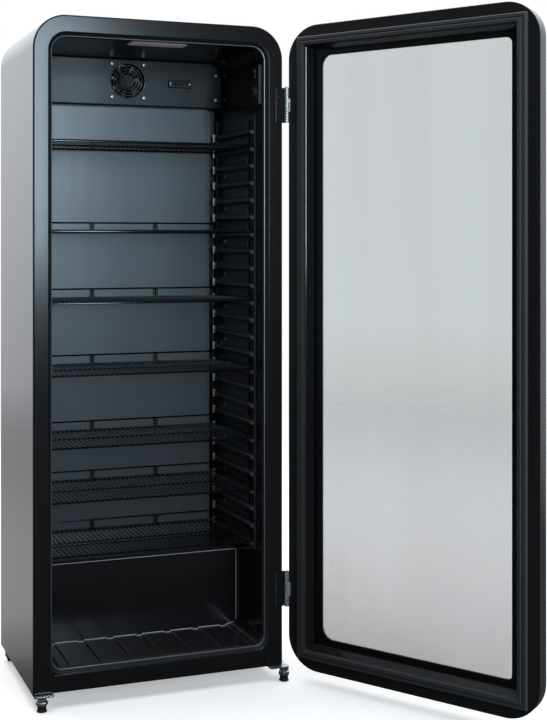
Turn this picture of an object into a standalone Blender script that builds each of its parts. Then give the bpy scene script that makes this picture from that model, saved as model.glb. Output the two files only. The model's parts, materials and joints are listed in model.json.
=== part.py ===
"""Upright refrigerated cabinet with a glazed door, seven wire shelves and a fan, as separate pieces.

Units are metres. The assembly empty carries the cabinet's own frame: X across from the cabinet's
middle, Y inward from the front flange, Z up from the shell's lower edge. The world's origin is on
the floor, under the front left foot. The door stands open by DOOR_OPEN degrees.
"""

from math import cos, pi, radians, sin

import bmesh
import bpy
from mathutils import Matrix, Vector

# Clearance kept between two pieces that touch on the real object.
GAP = 0.0003

# Cabinet shell.
WIDTH = 0.595
HEIGHT = 1.494
DEPTH = 0.365
FLOOR_GAP = 0.036
CORNER = 0.075
SKIN = 0.001
HALF = WIDTH / 2

# Food space.
CAVITY_HALF = 0.2535
CAVITY_FLOOR = 0.050
CAVITY_CEILING = 1.447
CAVITY_BACK = 0.318
CAVITY_TOP_RADIUS = 0.032
CAVITY_BOTTOM_RADIUS = 0.024
FLANGE_EDGE = 0.009
LINER = 0.0015
LINER_FRONT = 0.0095
HUMP_FRONT = 0.177
HUMP_TOP = 0.243
CHANNEL_COUNT = 7
CHANNEL_PITCH = 0.072
CHANNEL_WIDTH = 0.018
CHANNEL_DEPTH = 0.003

CHANNEL_START = 0.025
FRAME_THICK = 0.004
KICK_TOP = 0.040
REAR_FACE = DEPTH - 0.0025

# Machine bay behind and below the hump.
BAY_HALF = 0.268
BAY_FRONT = 0.210
BAY_TOP = 0.205
BASE_TOP = 0.0018
COMPRESSOR_X = 0.130
COMPRESSOR_Y = 0.290
COIL_LEFT = -0.245
COIL_RIGHT = -0.030
COIL_Y = 0.330
COIL_RISE = 0.020
COIL_PASSES = 9

# Cold plate behind the back panel, with a raised channel that runs to and fro.
PLATE_FRONT = 0.310
PLATE_BOTTOM = 0.285
PLATE_TOP = 1.285
PLATE_HALF = 0.215
PASS_COUNT = 9
PASS_BOTTOM = 0.330
PASS_PITCH = 0.1125
PASS_HALF = 0.190
PASS_WIDTH = 0.008

# Shelf ladders and shelves.
ROW_PITCH = 0.04075
FIRST_ROW = 0.280
ROW_COUNT = 25
SHELF_ROWS = (23, 18, 14, 10, 6, 3, 0)
LADDER_FRONT = 0.055
LADDER_BACK = 0.299
LADDER_PLATE = 0.0025
RIB_REACH = 0.012
RIB_HEIGHT = 0.012
SHELF_HALF = 0.2495
SHELF_DEPTH = 0.251
SHELF_FRONT = 0.050
SHELF_WIRES = 42
WIRE = 0.003
RAIL_HEIGHT = 0.027

# Fan and its cover.
COVER_FRONT = 0.285
COVER_BOTTOM = 1.330
FAN_X = 0.005
FAN_Z = 1.392
FAN_SIZE = 0.092
FAN_BORE = 0.0435
FAN_SCREWS = 0.0825
FAN_DEPTH = 0.025
HUB_RADIUS = 0.018
HUB_FRONT = 0.0045
HUB_LENGTH = 0.014
BLADES = 7
BLADE_PITCH = 32
BLADE_CHORD = 0.022
BLADE_THICK = 0.0018
SENSOR_LEFT = 0.111
SENSOR_BOTTOM = 1.379
SENSOR_SIZE = (0.060, 0.020)
SENSOR_SLOTS = 8

# Lamp and controls.
LAMP_Y = 0.036
LAMP_BASE = 0.0015
LAMP_LENS = 0.002
CONTROL_Y = 0.038
CONTROL_Z = 1.362
CONTROL_DEPTH = 0.009
DIAL_Z = 1.345
SWITCH_Z = 1.388

# Door, given as it stands when it is shut.
DOOR_WIDTH = 0.603
DOOR_HALF = DOOR_WIDTH / 2
DOOR_CORNER = 0.076
DOOR_INNER = -0.012
DOOR_FRONT = -0.067
DOOR_OPEN = 124.0
DOOR_ROUND = 0.025
FRAME_WALL = 0.0025
REVEAL = 0.047
REVEAL_FOOT = 0.0575
REVEAL_DEPTH = 0.020
GLASS_INSET = 0.042
PANE = 0.004
INNER_GLASS = DOOR_INNER - REVEAL_DEPTH - GAP
OUTER_GLASS = DOOR_FRONT + 0.007
GASKET_OUTER = 0.026
GASKET_INNER = 0.0465
WINDOW = 0.062
HANDLE_INSET = 0.045
HANDLE_REACH = 0.040
HANDLE_ENDS = (0.640, 0.960)

# Hinges.
AXIS_X = HALF + 0.007
AXIS_Y = -0.0075
KNUCKLE = 0.004
PIN = 0.0018
LEAF = 0.0015
LEAF_EDGE = HALF - 0.017
HINGE_HEIGHT = 0.082
HINGE_BOTTOMS = {"upper": 1.271, "lower": 0.139}
KNUCKLE_HEIGHT = 0.025

# Feet and rollers.
FOOT_LEFT = Vector((-HALF + 0.0195, 0.001, -FLOOR_GAP))
FOOT_RIGHT = Vector((HALF + 0.0030, -0.001, -FLOOR_GAP))
PAD_HEIGHT = 0.0147
STUD = 0.004
BOSS = 0.0085
HEXAGON = 0.014
BRACKET_THICK = 0.003
ROLLER = 0.016
ROLLER_Y = 0.3425
ROLLER_X = HALF - 0.0195
AXLE = 0.0026

# Cutting solids reach this far past what they cut.
FAR = 0.5

# Colour, roughness and metallic value of each material.
FINISHES = {
    "outer_paint": ((0.06, 0.06, 0.065), 0.25, 0.0),
    "frame_paint": ((0.02, 0.02, 0.022), 0.35, 0.0),
    "liner_plastic": ((0.018, 0.018, 0.020), 0.38, 0.0),
    "panel_sheet": ((0.05, 0.058, 0.066), 0.34, 0.0),
    "black_plastic": ((0.015, 0.015, 0.016), 0.45, 0.0),
    "foam": ((0.78, 0.70, 0.45), 0.90, 0.0),
    "galvanised": ((0.52, 0.54, 0.56), 0.42, 1.0),
    "aluminium": ((0.75, 0.76, 0.78), 0.35, 1.0),
    "zinc": ((0.62, 0.63, 0.65), 0.28, 1.0),
    "chrome": ((0.82, 0.82, 0.84), 0.12, 1.0),
    "copper": ((0.72, 0.42, 0.28), 0.30, 1.0),
    "black_wire": ((0.012, 0.012, 0.013), 0.30, 0.0),
    "gasket_rubber": ((0.025, 0.025, 0.026), 0.55, 0.0),
    "black_rubber": ((0.015, 0.015, 0.015), 0.70, 0.0),
    "glass": ((0.90, 0.95, 0.94), 0.03, 0.0),
    "lamp_diffuser": ((0.86, 0.80, 0.79), 0.40, 0.0),
    "compressor_paint": ((0.02, 0.02, 0.02), 0.30, 0.0),
}


def clear_scene():
    for obj in list(bpy.data.objects):
        bpy.data.objects.remove(obj)


def make_materials():
    for name, (colour, roughness, metallic) in FINISHES.items():
        material = bpy.data.materials.new(name)
        material.use_nodes = True
        shader = material.node_tree.nodes["Principled BSDF"]
        shader.inputs["Base Color"].default_value = (*colour, 1.0)
        shader.inputs["Roughness"].default_value = roughness
        shader.inputs["Metallic"].default_value = metallic
        if name == "glass":
            shader.inputs["Transmission Weight"].default_value = 1.0


def make_empty(name, location, parent=None):
    empty = bpy.data.objects.new(name, None)
    bpy.context.collection.objects.link(empty)
    empty.location = location
    empty.parent = parent
    return empty


# Outlines: lists of (u, v) points.


def arc(u, v, radius, start, end, steps):
    """Points on an arc from start to end degrees; a single corner point when the radius is 0."""
    if radius == 0:
        return [(u, v)]
    angles = [radians(start + (end - start) * i / steps) for i in range(steps + 1)]
    return [(u + radius * cos(a), v + radius * sin(a)) for a in angles]


def circle(u, v, radius, steps):
    return arc(u, v, radius, 0, 360, steps)[:-1]


def rectangle(low_u, low_v, high_u, high_v):
    return [(low_u, low_v), (high_u, low_v), (high_u, high_v), (low_u, high_v)]


def outline(half, bottom, top, top_radius, bottom_radius, steps=8):
    """A rounded rectangle centred on u = 0, with its own radius at the top and at the bottom."""
    low = bottom + bottom_radius
    high = top - top_radius
    inner_low = half - bottom_radius
    inner_high = half - top_radius
    return (
        arc(-inner_low, low, bottom_radius, 180, 270, steps)
        + arc(inner_low, low, bottom_radius, 270, 360, steps)
        + arc(inner_high, high, top_radius, 0, 90, steps)
        + arc(-inner_high, high, top_radius, 90, 180, steps)
    )


def door_outline(inset, radius=None, steps=6):
    """The door's outline, moved inward by inset."""
    corner = DOOR_CORNER - inset if radius is None else radius
    return outline(DOOR_HALF - inset, inset, HEIGHT - inset, corner, corner, steps)


def arch(half, bottom, top, radius, steps=10):
    """An open path up the left side, over the top and down the right side."""
    left = arc(-half + radius, top - radius, radius, 180, 90, steps)
    right = arc(half - radius, top - radius, radius, 90, 0, steps)
    return [(-half, bottom)] + left + right + [(half, bottom)]


# Solids. Each takes points in the plane it names, and levels along that plane's normal.

AXES = {
    "XZ": lambda u, v, level: (u, level, v),
    "XY": lambda u, v, level: (u, v, level),
    "YZ": lambda u, v, level: (level, u, v),
}


def finish(name, finish_name, bm, parent, location=(0, 0, 0)):
    """Turns a bmesh into a shaded object under its parent."""
    bmesh.ops.recalc_face_normals(bm, faces=bm.faces)
    mesh = bpy.data.meshes.new(name)
    bm.to_mesh(mesh)
    bm.free()
    mesh.shade_smooth()
    mesh.set_sharp_from_angle(angle=radians(35))
    mesh.materials.append(bpy.data.materials[finish_name])
    obj = bpy.data.objects.new(name, mesh)
    bpy.context.collection.objects.link(obj)
    obj.parent = parent
    obj.location = location
    return obj


def slab(name, finish_name, loops, low, high, parent, plane="XZ", location=(0, 0, 0)):
    """The area inside the first loop and outside the others, from level low to level high."""
    place = AXES[plane]
    bm = bmesh.new()
    edges = []
    for loop in loops:
        verts = [bm.verts.new(place(u, v, low)) for u, v in loop]
        edges += [bm.edges.new((verts[i - 1], verts[i])) for i in range(len(verts))]
    bmesh.ops.triangle_fill(bm, use_beauty=True, edges=edges)
    grown = bmesh.ops.extrude_face_region(bm, geom=bm.faces[:])["geom"]
    raised = [item for item in grown if isinstance(item, bmesh.types.BMVert)]
    bmesh.ops.translate(bm, verts=raised, vec=place(0, 0, high - low))
    return finish(name, finish_name, bm, parent, location)


def ring(name, finish_name, sections, parent, location=(0, 0, 0)):
    """A closed ring: each section is (outline, y), and the last one joins the first."""
    bm = bmesh.new()
    loops = [[bm.verts.new((u, y, v)) for u, v in points] for points, y in sections]
    for near, far in zip(loops, loops[1:] + loops[:1]):
        for i in range(len(near)):
            bm.faces.new((near[i - 1], near[i], far[i], far[i - 1]))
    return finish(name, finish_name, bm, parent, location)


def block(name, finish_name, low, high, parent, location=(0, 0, 0)):
    bm = bmesh.new()
    bmesh.ops.create_cube(bm, size=1)
    size = Vector(high) - Vector(low)
    middle = (Vector(high) + Vector(low)) / 2
    bmesh.ops.scale(bm, verts=bm.verts, vec=size)
    bmesh.ops.translate(bm, verts=bm.verts, vec=middle)
    return finish(name, finish_name, bm, parent, location)


def turned(name, finish_name, profile, parent, location=(0, 0, 0), axis="Z", steps=24):
    """A solid of revolution: profile is (radius, distance along the axis), both ends on the axis."""
    bm = bmesh.new()
    verts = [bm.verts.new((radius, 0, along)) for radius, along in profile]
    edges = [bm.edges.new(pair) for pair in zip(verts, verts[1:])]
    bmesh.ops.spin(
        bm, geom=verts + edges, cent=(0, 0, 0), axis=(0, 0, 1), angle=2 * pi, steps=steps
    )
    bmesh.ops.remove_doubles(bm, verts=bm.verts, dist=1e-6)
    turns = {"X": Matrix.Rotation(pi / 2, 3, "Y"), "Y": Matrix.Rotation(-pi / 2, 3, "X")}
    if axis in turns:
        bmesh.ops.rotate(bm, verts=bm.verts, cent=(0, 0, 0), matrix=turns[axis])
    return finish(name, finish_name, bm, parent, location)


def rod(radius, low, high):
    """The turned profile of a plain cylinder."""
    return [(0, low), (radius, low), (radius, high), (0, high)]


def tube(name, finish_name, points, radius, parent, location=(0, 0, 0), sides=8):
    """A round tube along a path, its ends closed."""
    curve = bpy.data.curves.new(name, "CURVE")
    curve.dimensions = "3D"
    curve.bevel_depth = radius
    curve.bevel_resolution = (sides - 4) // 2
    curve.use_fill_caps = True
    spline = curve.splines.new("POLY")
    spline.points.add(len(points) - 1)
    for target, point in zip(spline.points, points):
        target.co = (*point, 1)
    curve.materials.append(bpy.data.materials[finish_name])
    obj = bpy.data.objects.new(name, curve)
    bpy.context.collection.objects.link(obj)
    obj.parent = parent
    obj.location = location
    return obj


def rounded_path(points, radius, steps=4):
    """The path through points, each inner corner replaced by a short curve."""
    path = [Vector(points[0])]
    for before, corner, after in zip(points, points[1:], points[2:]):
        corner = Vector(corner)
        into = corner + (Vector(before) - corner).normalized() * radius
        out = corner + (Vector(after) - corner).normalized() * radius
        for i in range(steps + 1):
            t = i / steps
            path.append((1 - t) ** 2 * into + 2 * t * (1 - t) * corner + t**2 * out)
    path.append(Vector(points[-1]))
    return path


def combine(target, operation, tools):
    """Applies a Boolean with each tool, and removes the tools."""
    for tool in tools:
        modifier = target.modifiers.new(tool.name, "BOOLEAN")
        modifier.operation = operation
        modifier.object = tool
    bpy.context.view_layer.update()
    graph = bpy.context.evaluated_depsgraph_get()
    mesh = bpy.data.meshes.new_from_object(target.evaluated_get(graph))
    target.modifiers.clear()
    target.data = mesh
    for tool in tools:
        bpy.data.objects.remove(tool)
    return target


# Cabinet.


def make_outer_wrap(cabinet):
    outside = arch(HALF, 0, HEIGHT, CORNER)
    inside = arch(HALF - SKIN, 0, HEIGHT - SKIN, CORNER - SKIN)
    slab("outer_wrap", "outer_paint", [outside + inside[::-1]], FRAME_THICK + GAP, DEPTH, cabinet)


def cavity_tool(cabinet, grow):
    """The food space, larger by grow on every side and open towards the front."""
    shape = outline(
        CAVITY_HALF + grow,
        CAVITY_FLOOR - grow,
        CAVITY_CEILING + grow,
        CAVITY_TOP_RADIUS + grow,
        CAVITY_BOTTOM_RADIUS + grow,
    )
    space = slab("cavity", "foam", [shape], -FRAME_THICK, CAVITY_BACK + grow, cabinet)
    low = (-FAR, HUMP_FRONT + grow, -FAR)
    hump = block("hump", "foam", low, (FAR, FAR, HUMP_TOP - grow), cabinet)
    return combine(space, "DIFFERENCE", [hump])


def make_inner_liner(cabinet):
    liner = cavity_tool(cabinet, LINER)
    liner.name = "inner_liner"
    liner.data.materials[0] = bpy.data.materials["liner_plastic"]
    floor = block(
        "floor",
        "liner_plastic",
        (-CAVITY_HALF + CAVITY_BOTTOM_RADIUS, 0, CAVITY_FLOOR - CHANNEL_DEPTH - LINER),
        (CAVITY_HALF - CAVITY_BOTTOM_RADIUS, HUMP_FRONT + LINER, CAVITY_FLOOR + LINER),
        cabinet,
    )
    combine(liner, "UNION", [floor])
    mouth = block("mouth", "foam", (-FAR, -FAR, -FAR), (FAR, LINER_FRONT, HEIGHT), cabinet)
    channels = []
    for i in range(CHANNEL_COUNT):
        middle = (i - (CHANNEL_COUNT - 1) / 2) * CHANNEL_PITCH
        low = (middle - CHANNEL_WIDTH / 2, CHANNEL_START, CAVITY_FLOOR - CHANNEL_DEPTH)
        high = (middle + CHANNEL_WIDTH / 2, HUMP_FRONT - GAP, CAVITY_FLOOR + LINER)
        channels.append(block(f"channel_{i}", "foam", low, high, cabinet))
    combine(liner, "DIFFERENCE", [cavity_tool(cabinet, 0), mouth] + channels)


def make_insulation(cabinet):
    edge = SKIN + GAP
    shape = arch(HALF - edge, BASE_TOP + GAP, HEIGHT - edge, CORNER - edge)
    rear = REAR_FACE - SKIN - 2 * GAP
    foam = slab("insulation_foam", "foam", [shape], LINER_FRONT + GAP, rear, cabinet)
    low = (-CAVITY_HALF, -FAR, CAVITY_FLOOR - CHANNEL_DEPTH - LINER - GAP)
    high = (CAVITY_HALF, HUMP_FRONT + LINER + GAP, CAVITY_FLOOR + CAVITY_BOTTOM_RADIUS)
    floor = block("floor", "foam", low, high, cabinet)
    bay = block("bay", "foam", (-BAY_HALF, BAY_FRONT, -FAR), (BAY_HALF, FAR, BAY_TOP), cabinet)
    combine(foam, "DIFFERENCE", [cavity_tool(cabinet, LINER + GAP), floor, bay])


def make_front_frame(cabinet):
    """The front flange, with a sloping edge into the food space and a notch for the kick strip."""
    outer = outline(HALF, 0, HEIGHT, CORNER, 0.003)
    flat = outline(
        CAVITY_HALF + FLANGE_EDGE,
        CAVITY_FLOOR - FLANGE_EDGE,
        CAVITY_CEILING + FLANGE_EDGE,
        CAVITY_TOP_RADIUS + FLANGE_EDGE,
        CAVITY_BOTTOM_RADIUS + FLANGE_EDGE,
    )
    hole = outline(
        CAVITY_HALF, CAVITY_FLOOR, CAVITY_CEILING, CAVITY_TOP_RADIUS, CAVITY_BOTTOM_RADIUS
    )
    back = FRAME_THICK
    sections = [(outer, back), (outer, 0), (flat, 0), (hole, FLANGE_EDGE), (flat, back)]
    frame = ring("front_frame", "frame_paint", sections, cabinet)
    notch = block("notch", "foam", (-CAVITY_HALF, -FAR, -FAR), (CAVITY_HALF, FAR, KICK_TOP), cabinet)
    combine(frame, "DIFFERENCE", [notch])


def make_kick_strip(cabinet):
    half = CAVITY_HALF - GAP
    shape = rectangle(-half, GAP, half, KICK_TOP - GAP)
    slab("kick_strip", "frame_paint", [shape], 0.0005, FRAME_THICK, cabinet)


def make_rear_panel(cabinet):
    edge = SKIN + GAP
    shape = arch(HALF - edge, BAY_TOP, HEIGHT - edge, CORNER - edge)
    slab("rear_panel", "galvanised", [shape], REAR_FACE - SKIN, REAR_FACE, cabinet)


def make_base_plate(cabinet):
    half = HALF - SKIN - GAP
    low = (-half, FRAME_THICK + 0.0005, GAP)
    block("base_plate", "galvanised", low, (half, DEPTH - SKIN, BASE_TOP), cabinet)


def make_ladder(cabinet, side_name, side):
    """A moulded rack of shelf ribs; side is -1 on the left wall and 1 on the right."""
    wall = CAVITY_HALF - GAP
    face = wall - LADDER_PLATE
    tip = CAVITY_HALF - RIB_REACH
    low = FIRST_ROW - RIB_HEIGHT - 0.006
    top = FIRST_ROW + ROW_COUNT * ROW_PITCH
    shape = [(wall, low), (wall, top), (face, top)]
    for row in reversed(range(ROW_COUNT)):
        level = FIRST_ROW + row * ROW_PITCH
        shape += [(face, level), (tip, level), (tip, level - RIB_HEIGHT / 2)]
        shape.append((face, level - RIB_HEIGHT))
    shape.append((face, low))
    shape = [(side * u, v) for u, v in shape]
    slab(f"ladder_{side_name}", "liner_plastic", [shape], LADDER_FRONT, LADDER_BACK, cabinet)


def make_back_duct_panel(cabinet):
    """A sheet channel that stands off the back wall, its sides bent back to it."""
    half = CAVITY_HALF - 0.025
    front = CAVITY_BACK - 0.014
    back = CAVITY_BACK - GAP
    thick = 0.0012
    outside = [(-half, back), (-half, front), (half, front), (half, back)]
    inner = half - thick
    inside = [(inner, back), (inner, front + thick), (-inner, front + thick), (-inner, back)]
    low = HUMP_TOP + 0.002
    high = COVER_BOTTOM - 0.004
    slab("back_duct_panel", "panel_sheet", [outside + inside], low, high, cabinet, "XY")


def make_evaporator_plate(cabinet):
    """A cold plate with a raised channel that runs to and fro across its front."""
    thick = 0.0015
    low = (-PLATE_HALF, PLATE_FRONT, PLATE_BOTTOM)
    high = (PLATE_HALF, PLATE_FRONT + thick, PLATE_TOP)
    plate = block("evaporator_plate", "aluminium", low, high, cabinet)
    near = PLATE_FRONT - thick
    far = PLATE_FRONT + thick / 2
    half = PASS_WIDTH / 2
    raised = []
    for i in range(PASS_COUNT):
        level = PASS_BOTTOM + i * PASS_PITCH
        low = (-PASS_HALF, near, level - half)
        high = (PASS_HALF, far, level + half)
        raised.append(block(f"pass_{i}", "aluminium", low, high, cabinet))
    for i in range(PASS_COUNT - 1):
        side = PASS_HALF - half if i % 2 else half - PASS_HALF
        level = PASS_BOTTOM + i * PASS_PITCH
        low = (side - half, near, level)
        high = (side + half, far, level + PASS_PITCH)
        raised.append(block(f"bend_{i}", "aluminium", low, high, cabinet))
    combine(plate, "UNION", raised)


# Fan group.


def make_fan_cover(cabinet):
    """The sheet across the top of the back wall, with the fan's opening and a lower lip."""
    half = CAVITY_HALF - GAP
    top = CAVITY_CEILING - GAP
    radius = CAVITY_TOP_RADIUS - GAP
    shape = arch(half, COVER_BOTTOM, top, radius, 6)
    hole = circle(FAN_X, FAN_Z, FAN_BORE, 24)
    thick = 0.0012
    back = COVER_FRONT + thick
    cover = slab("fan_cover", "panel_sheet", [shape, hole], COVER_FRONT, back, cabinet)
    low = (-half, COVER_FRONT, COVER_BOTTOM)
    high = (half, COVER_FRONT + 0.020, COVER_BOTTOM + thick)
    lip = block("lip", "panel_sheet", low, high, cabinet)
    combine(cover, "UNION", [lip])


def make_fan_housing(cabinet):
    """A square frame whose bore holds the motor's cup on three struts."""
    half = FAN_SIZE / 2
    front = COVER_FRONT + 0.0016
    back = front + FAN_DEPTH
    middle = (FAN_X, 0, FAN_Z)
    black = "black_plastic"
    loops = [outline(half, -half, half, 0.006, 0.006, 3), circle(0, 0, FAN_BORE, 24)]
    housing = slab("fan_housing", black, loops, front, back, cabinet, location=middle)
    cup = [circle(0, 0, HUB_RADIUS + 0.001, 20)]
    parts = [slab("cup", black, cup, back - 0.007, back, cabinet, location=middle)]
    arm = [rectangle(-0.002, 0, 0.002, FAN_BORE + 0.0015)]
    for i in range(3):
        strut = slab(f"strut_{i}", black, arm, back - 0.005, back - 0.001, cabinet, location=middle)
        strut.rotation_euler.y = radians(90 + 120 * i)
        parts.append(strut)
    combine(housing, "UNION", parts)


def make_fan_guard(cabinet):
    """Concentric wires carried by two crossed ones that end at the fan's screws."""
    back = COVER_FRONT - GAP
    front = back - 0.002
    middle = (FAN_X, 0, FAN_Z)
    wires = []
    for i, radius in enumerate((0.045, 0.032, 0.019)):
        sides = 20 - 4 * i
        loops = [circle(0, 0, radius, sides), circle(0, 0, radius - 0.002, sides)]
        wires.append(slab(f"hoop_{i}", "black_wire", loops, front, back, cabinet, location=middle))
    reach = FAN_SCREWS / 2 * 2**0.5 + 0.004
    for i, turn in enumerate((45, 135)):
        shape = rectangle(-reach, -0.001, reach, 0.001)
        cross = slab(f"cross_{i}", "black_wire", [shape], front, back, cabinet, location=middle)
        cross.rotation_euler.y = radians(turn)
        wires.append(cross)
    wires[0].name = "fan_guard"
    combine(wires[0], "UNION", wires[1:])


def make_fan_rotor(cabinet):
    """Hub and pitched blades; the object's origin is on the fan's axis."""
    middle = (FAN_X, COVER_FRONT, FAN_Z)
    profile = rod(HUB_RADIUS, HUB_FRONT, HUB_FRONT + HUB_LENGTH)
    hub = turned("fan_rotor", "black_plastic", profile, cabinet, middle, "Y", 20)
    low = (-BLADE_CHORD / 2, -BLADE_THICK / 2, HUB_RADIUS - 0.002)
    high = (BLADE_CHORD / 2, BLADE_THICK / 2, FAN_BORE - 0.003)
    pitch = Matrix.Rotation(radians(BLADE_PITCH), 4, "Z")
    shift = Matrix.Translation(Vector(middle) + Vector((0, HUB_FRONT + HUB_LENGTH / 2, 0)))
    blades = []
    for i in range(BLADES):
        blade = block(f"blade_{i}", "black_plastic", low, high, cabinet)
        around = Matrix.Rotation(2 * pi * i / BLADES, 4, "Y")
        blade.data.transform(shift @ around @ pitch)
        blades.append(blade)
    combine(hub, "UNION", blades)


def make_sensor_cover(cabinet):
    """A small box over the temperature sensor, with a row of slots in its face."""
    width, height = SENSOR_SIZE
    face = COVER_FRONT - 0.0065
    high = (SENSOR_LEFT + width, COVER_FRONT - GAP, SENSOR_BOTTOM + height)
    cover = block("sensor_cover", "black_plastic", (SENSOR_LEFT, face, SENSOR_BOTTOM), high, cabinet)
    margin = height / 4
    slots = []
    for i in range(SENSOR_SLOTS):
        left = SENSOR_LEFT + 0.008 + i * 0.0058
        low = (left, face - margin, SENSOR_BOTTOM + margin)
        high = (left + 0.003, face + 0.003, SENSOR_BOTTOM + height - margin)
        slots.append(block(f"slot_{i}", "foam", low, high, cabinet))
    combine(cover, "DIFFERENCE", slots)


# Lamp and controls.


def make_lamp(cabinet):
    ceiling = CAVITY_CEILING - GAP
    under = ceiling - LAMP_BASE
    base = outline(0.073, -0.0245, 0.0245, 0.008, 0.008, 3)
    lens = outline(0.067, -0.0210, 0.0210, 0.009, 0.009, 3)
    middle = (0, LAMP_Y, 0)
    slab("lamp_base", "black_plastic", [base], under, ceiling, cabinet, "XY", middle)
    slab("lamp_lens", "lamp_diffuser", [lens], under - GAP - LAMP_LENS, under - GAP, cabinet, "XY", middle)


def make_controls(cabinet):
    """A control box on the right wall, with a dial on an axis across the cabinet and a rocker."""
    black = "black_plastic"
    wall = CAVITY_HALF - GAP
    face = wall - CONTROL_DEPTH
    box = outline(0.018, -0.048, 0.048, 0.004, 0.004, 3)
    slab("control_box", black, [box], face, wall, cabinet, "YZ", (0, CONTROL_Y, CONTROL_Z))
    dial = [(0, 0), (0.0125, 0), (0.0115, -0.008), (0, -0.008)]
    turned("thermostat_knob", black, dial, cabinet, (face - GAP, CONTROL_Y, DIAL_Z), "X", 24)
    rocker = [(-0.0105, -0.0030), (0, -0.0022), (0.0105, -0.0050), (0.0105, 0), (-0.0105, 0)]
    rocker = [(across - 0.0016, along) for along, across in rocker]
    place = (face, CONTROL_Y, SWITCH_Z)
    slab("light_switch", black, [rocker], -0.006, 0.006, cabinet, "XZ", place)


# Machine bay.


def around_compressor(name, finish_name, half_x, half_y, low, high, cabinet):
    """A block centred on the compressor, between two heights."""
    corner = (COMPRESSOR_X - half_x, COMPRESSOR_Y - half_y, low)
    opposite = (COMPRESSOR_X + half_x, COMPRESSOR_Y + half_y, high)
    return block(name, finish_name, corner, opposite, cabinet)


def make_compressor(cabinet):
    """The oval compressor on its mounting plate, with its relay cover and the tray over it."""
    around_compressor("compressor_mount", "galvanised", 0.100, 0.060, 0.0025, 0.0055, cabinet)
    pot = [(0, 0.0090), (0.045, 0.0090), (0.062, 0.022), (0.066, 0.045), (0.068, 0.080)]
    pot += [(0.068, 0.086), (0.065, 0.110), (0.058, 0.134), (0.042, 0.150), (0.020, 0.157)]
    pot.append((0, 0.158))
    place = (COMPRESSOR_X, COMPRESSOR_Y, 0)
    compressor = turned("compressor", "compressor_paint", pot, cabinet, place, steps=20)
    oval = Matrix.Scale(1.22, 4, (1, 0, 0)) @ Matrix.Scale(0.84, 4, (0, 1, 0))
    compressor.data.transform(oval)
    feet = around_compressor("feet", "compressor_paint", 0.085, 0.045, 0.0058, 0.0100, cabinet)
    combine(compressor, "UNION", [feet])
    block("relay_cover", "black_plastic", (0.016, 0.262, 0.050), (0.0455, 0.318, 0.120), cabinet)
    tray = around_compressor("drip_tray", "black_plastic", 0.085, 0.062, 0.164, 0.186, cabinet)
    hollow = around_compressor("hollow", "foam", 0.083, 0.060, 0.166, 0.200, cabinet)
    combine(tray, "DIFFERENCE", [hollow])


def make_condenser(cabinet):
    """A black tube folded to and fro across the bay, with its drier and the pipe that feeds it."""
    pipe = 0.0030
    points = []
    for i in range(COIL_PASSES):
        level = COIL_RISE * (i + 1)
        ends = [(COIL_LEFT, COIL_Y, level), (COIL_RIGHT, COIL_Y, level)]
        points += ends if i % 2 == 0 else ends[::-1]
    coil = rounded_path(points, 0.009, 2)
    tube("condenser_coil", "compressor_paint", coil, pipe, cabinet, sides=6)
    drier = [(0, -0.048), (pipe, -0.048), (0.009, -0.036), (0.009, 0.036), (pipe, 0.048), (0, 0.048)]
    turned("filter_drier", "copper", drier, cabinet, (-0.020, 0.300, 0.110), steps=14)
    feed = [(0.100, 0.232, 0.115), (0.100, 0.220, 0.115), (0.005, 0.220, 0.115)]
    feed += [(0.005, 0.322, COIL_PASSES * COIL_RISE), (-0.0265, COIL_Y, COIL_PASSES * COIL_RISE)]
    tube("discharge_pipe", "copper", rounded_path(feed, 0.008, 3), pipe, cabinet, sides=6)


def make_power_cord(cabinet):
    """A cord from the relay cover down to the base, laid there in a loop."""
    low = 0.014
    points = [(0.030, 0.300, 0.0495), (0.030, 0.300, low), (-0.150, 0.300, low)]
    points += [(-0.225, 0.280, low), (-0.225, 0.245, low), (-0.150, 0.232, low)]
    points.append((-0.100, 0.245, low))
    cord = rounded_path(points, 0.014, 3)
    tube("power_cord", "black_rubber", cord, 0.0035, cabinet, sides=6)


# Feet and rollers.


def make_foot(cabinet, side_name, foot, plate_low, plate_high):
    """A zinc bracket with a threaded boss, the stud that turns in it and its rubber pad."""
    name = f"foot_bracket_{side_name}"
    low = -GAP - BRACKET_THICK
    plate = slab(name, "zinc", [rectangle(*plate_low, *plate_high)], low, -GAP, cabinet, "XY")
    disc = circle(foot.x, foot.y, BOSS, 20)
    boss = slab("boss", "zinc", [disc], -0.0130, low + 0.0013, cabinet, "XY")
    hole = circle(foot.x, foot.y, STUD + 0.0005, 16)
    bore = slab("bore", "zinc", [hole], -FAR, FAR, cabinet, "XY")
    combine(plate, "UNION", [boss])
    combine(plate, "DIFFERENCE", [bore])
    top_of_pad = PAD_HEIGHT + GAP
    shaft = rod(STUD, top_of_pad + 0.003, FLOOR_GAP - 2 * GAP)
    stud = turned(f"foot_stud_{side_name}", "zinc", shaft, cabinet, foot, steps=16)
    shape = circle(0, 0, HEXAGON, 6)
    hexagon = slab("hexagon", "zinc", [shape], top_of_pad, top_of_pad + 0.007, cabinet, "XY", foot)
    combine(stud, "UNION", [hexagon])
    pad = [(0, 0), (0.0105, 0), (0.0115, 0.002), (0.0095, PAD_HEIGHT - 0.001), (0.0085, PAD_HEIGHT)]
    turned(f"foot_pad_{side_name}", "black_rubber", pad + [(0, PAD_HEIGHT)], cabinet, foot, steps=20)


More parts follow.
